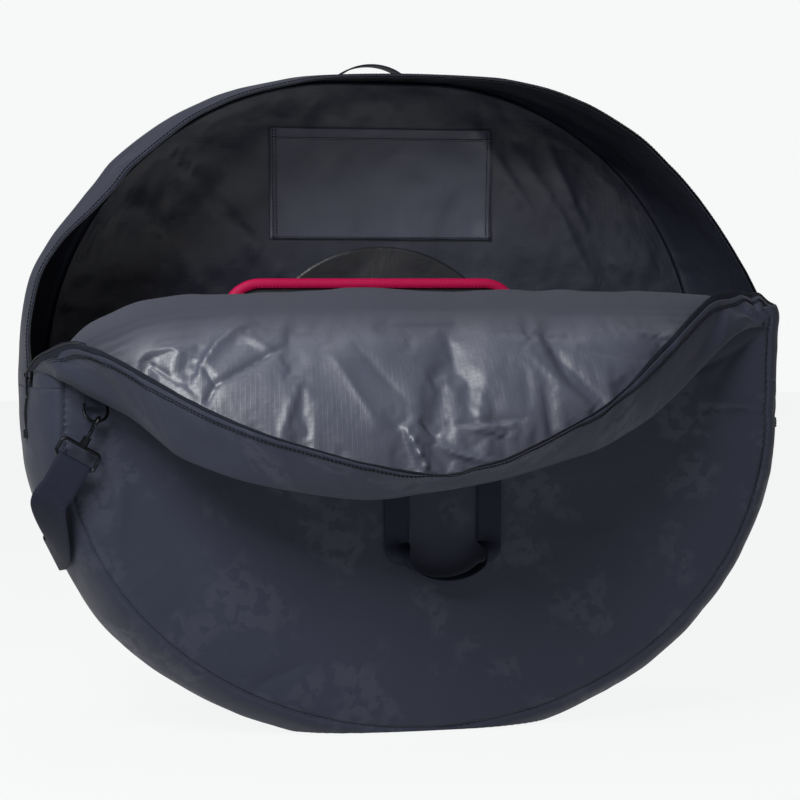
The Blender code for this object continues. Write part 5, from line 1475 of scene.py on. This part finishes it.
def cord_tube(name, path, radius, sides=12):
    """A round cord along a path, with closed ends."""
    tangent = unit(np.gradient(path, axis=0))
    first = unit(np.cross(tangent, (0.0, 1.0, 0.0)))
    second = np.cross(tangent, first)
    turn = np.linspace(0.0, 2 * math.pi, sides, endpoint=False)[None, :, None]
    rings = path[:, None] + radius * (np.cos(turn) * first[:, None] + np.sin(turn) * second[:, None])
    start, end = [np.repeat(point[None, None], sides, axis=1) for point in (path[0], path[-1])]
    grid = np.concatenate([start, rings, end])
    return cloth(name, grid, BRAID, "pull_cord", 0.0, core=path.mean(axis=0), closed=True)


for side, label in ((-1, "left"), (1, "right")):
    top = CORD_TOP * (side, 1, 1)
    path = smooth_line([top + (side * out_by, 0.0, down_by) for out_by, down_by in CORD_POINTS], 3)
    braid = cord_tube("braided_cord_" + label, path, CORD_THICK / 2)
    turn = np.linspace(0.0, 2 * math.pi * KNOT_TURNS, 90)
    wrap = path[-1] + np.stack([KNOT_RADIUS * np.cos(turn), KNOT_RADIUS * np.sin(turn),
                                -0.6 * MM - turn / turn[-1] * KNOT_HEIGHT], axis=1)
    knot = cord_tube("knot_of_cord_" + label, wrap, KNOT_CORD, 10)
    sew_on(braid, "puller_" + label, "pull_cord_" + label)
    sew_on(knot, "puller_" + label, "pull_knot_" + label)

# %% [markdown]
# ## Stitches
# Two rows of stitching hold each side of the zip to the canvas, and boxes of stitching hold the handles. Thread is
# 0.5 mm thick and each stitch about 3.5 mm long. They are drawn 0.8 to 1 mm thick, so that a row can be seen at all.

# %% Stitches
STITCH = {"Pitch": 4.4 * MM, "Length": 3.4 * MM, "Thickness": 1.0 * MM, "Unevenness": 0.12, "Seed": 5,
          "Material": THREAD}
FINE = {"Pitch": 4.0 * MM, "Length": 3.0 * MM, "Thickness": 0.8 * MM, "Unevenness": 0.1, "Seed": 7,
        "Material": THREAD}
UP = (0.0, 0.0, 1.0)
BOX_HALF, BOX_FOOT, BOX_HEAD = 10 * MM, 4 * MM, 8 * MM


def sewn(name, lines, slot, sizes):
    """Rows of stitches along these lines, all for one body."""
    return lay_along(name, STITCHES, [(line, UP) for line in lines], slot, **sizes)


def flat_line(points, y):
    """A line through these (x, z) points at one depth."""
    return np.array([(x, y, z) for x, z in points], float)


zip_lines = [gusset_grid(CROWN, [depth_share(ZIP_Y + reach)], -0.0005)[0] for reach in (0.0125, 0.0155)]
sew_on(sewn("stitches_beside_zip", zip_lines, "webbing", STITCH), "bag")
flap_lines = [band_grid([share], lift=0.0006)[0] for share in (0.68, 0.73)]
flap_stitches = sewn("stitches_on_flap_band", flap_lines, "webbing", STITCH)

# %% Stitches of handles and ring tabs
for (label, centre_x, top, way), face, carrier in zip(HANDLES, (LOOP_Y, PATCH_Y), ("front_handle", "bag")):
    boxes = []
    face_y = way * (face + WEBBING_THICK / 2 + 0.1 * MM)
    low, high = top - ANCHOR + BOX_FOOT, top - BOX_HEAD
    for x in (centre_x - HANDLE_SPACING / 2, centre_x + HANDLE_SPACING / 2):
        left, right = x - BOX_HALF, x + BOX_HALF
        corners = [(left, low), (right, low), (right, high), (left, high), (left, low), (right, high), (left, high),
                   (right, low)]
        boxes += [flat_line(pair, face_y) for pair in zip(corners[:-1], corners[1:])]
    sew_on(sewn("stitches_of_" + label + "_handle", boxes, "webbing", FINE), carrier)

tab_y = -(PATCH_Y + 1.5 * WEBBING_THICK + 0.5 * MM)
tab_lines = []
for half_turns in (0, 1):
    for height in (0.016, 0.028, 0.041):
        ends = [(bar[0] + side * 8 * MM, RING_BAR + height) for side in (-1, 1)]
        tab_lines.append(turned(flat_line(ends, tab_y), half_turns))
sew_on(sewn("stitches_of_ring_tabs", tab_lines, "webbing", FINE), "bag")

# %% Stitches of pocket and divider
pocket_lines = []
for points in ([(-0.132, 0.676), (-0.132, 0.551), (0.132, 0.551), (0.132, 0.676)], [(-0.128, 0.676), (-0.128, 0.555)],
               [(0.128, 0.676), (0.128, 0.555)], [(-0.132, 0.668), (0.132, 0.668)]):
    for first, last in zip(points[:-1], points[1:]):
        x, z = np.linspace(first, last, 40).T
        pocket_lines.append(np.stack([x, back_cloth_y(x, z) - 0.0046, z], axis=1))
sew_on(sewn("stitches_of_pocket", pocket_lines, "webbing", FINE), "bag")
tape_lines = [beside_edge(-0.0085, side * 0.0068) for side in (-1, 1)]
sew_on(sewn("stitches_of_divider_tape", tape_lines, "crimson_binding", {**FINE, "Material": BINDING}), "divider")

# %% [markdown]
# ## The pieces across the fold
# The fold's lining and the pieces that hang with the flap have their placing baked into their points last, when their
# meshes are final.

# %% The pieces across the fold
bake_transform(flap_lining)
for piece in (band, band_inner, flap_tape, flap_teeth, flap_stitches):
    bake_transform(piece)
    print(piece.name, "bends at the fold")

# %% [markdown]
# ## Floor and light
# A pale floor, a white world and three large soft lamps light the bag evenly, as a studio for shop photographs does.

# %% Floor and light
PAPER_WHITE = linear("#f7f8f8")
LAMPS = (("softbox_front_left", (-1.36, -1.52, 1.92), (0, 0, 0.4), (1.1, 1.1), 77),
         ("softbox_front_right", (1.6, -3.0, 1.2), (0, 0, 0.4), (1.2, 1.2), 4),
         ("softbox_above", (0.1, 0.4, 2.8), (0, 0, 0.3), (1.6, 1.2), 16))


def camera_rays(tree):
    """1 for what the camera sees itself, or in a mirror or through glass, and 0 for light that bounces."""
    kind = add_node(tree, "ShaderNodeLightPath").outputs
    seen = add_node(tree, "ShaderNodeMath", {0: kind["Is Camera Ray"], 1: kind["Is Glossy Ray"]}, operation="MAXIMUM")
    return add_node(tree, "ShaderNodeMath", {0: seen, 1: kind["Is Transmission Ray"]}, operation="MAXIMUM")


def pale_floor():
    """Matt paper. Seen by the camera it is mostly its own even white, and the rest takes the bag's shadow."""
    material, tree, shader = new_material("pale_paper_floor")
    feed(tree, shader, {"Base Color": linear("#f3f4f4"), "Roughness": 0.9, "Specular IOR Level": 0.1})
    even = add_node(tree, "ShaderNodeEmission", {"Color": PAPER_WHITE, "Strength": 1.0})
    share = add_node(tree, "ShaderNodeMath", {0: camera_rays(tree), 1: 0.95}, operation="MULTIPLY")
    mixed = add_node(tree, "ShaderNodeMixShader", {0: share, 1: shader, 2: even})
    feed(tree, tree.nodes["Material Output"], {"Surface": mixed})
    return material


def soft_lamp(name, place, target, size, power):
    """A large lamp at this place, turned to its target."""
    lamp = bpy.data.lights.new(name, "AREA")
    lamp.shape = "RECTANGLE"
    lamp.size, lamp.size_y = size
    lamp.energy = power
    holder = new_piece(name, lamp)
    holder.location = place
    holder.rotation_euler = (Vector(target) - Vector(place)).to_track_quat("-Z", "Y").to_euler()
    print(name, power, "W")
    return holder


bpy.ops.mesh.primitive_plane_add(size=14.0, location=(0.0, 0.0, -0.0004))
floor = bpy.context.object
floor.name = "studio_floor"
floor.data.materials.append(pale_floor())
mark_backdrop(floor, *[soft_lamp(*lamp) for lamp in LAMPS])

world = bpy.data.worlds.new("studio")
bpy.context.scene.world = world
world.use_nodes = True
tree = world.node_tree
plain = tree.nodes["Background"]
feed(tree, plain, {"Color": (1.0, 1.0, 1.0, 1.0), "Strength": 0.125})
white = add_node(tree, "ShaderNodeBackground", {"Color": PAPER_WHITE, "Strength": 1.0})
camera_ray = add_node(tree, "ShaderNodeLightPath").outputs["Is Camera Ray"]
mixed = add_node(tree, "ShaderNodeMixShader", {0: camera_ray, 1: plain, 2: white})
feed(tree, tree.nodes["World Output"], {"Surface": mixed})
bpy.context.scene.view_settings.view_transform = "Standard"

# %% Sizes
low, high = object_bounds()
print("dressed bag's box", tuple(low), tuple(high))
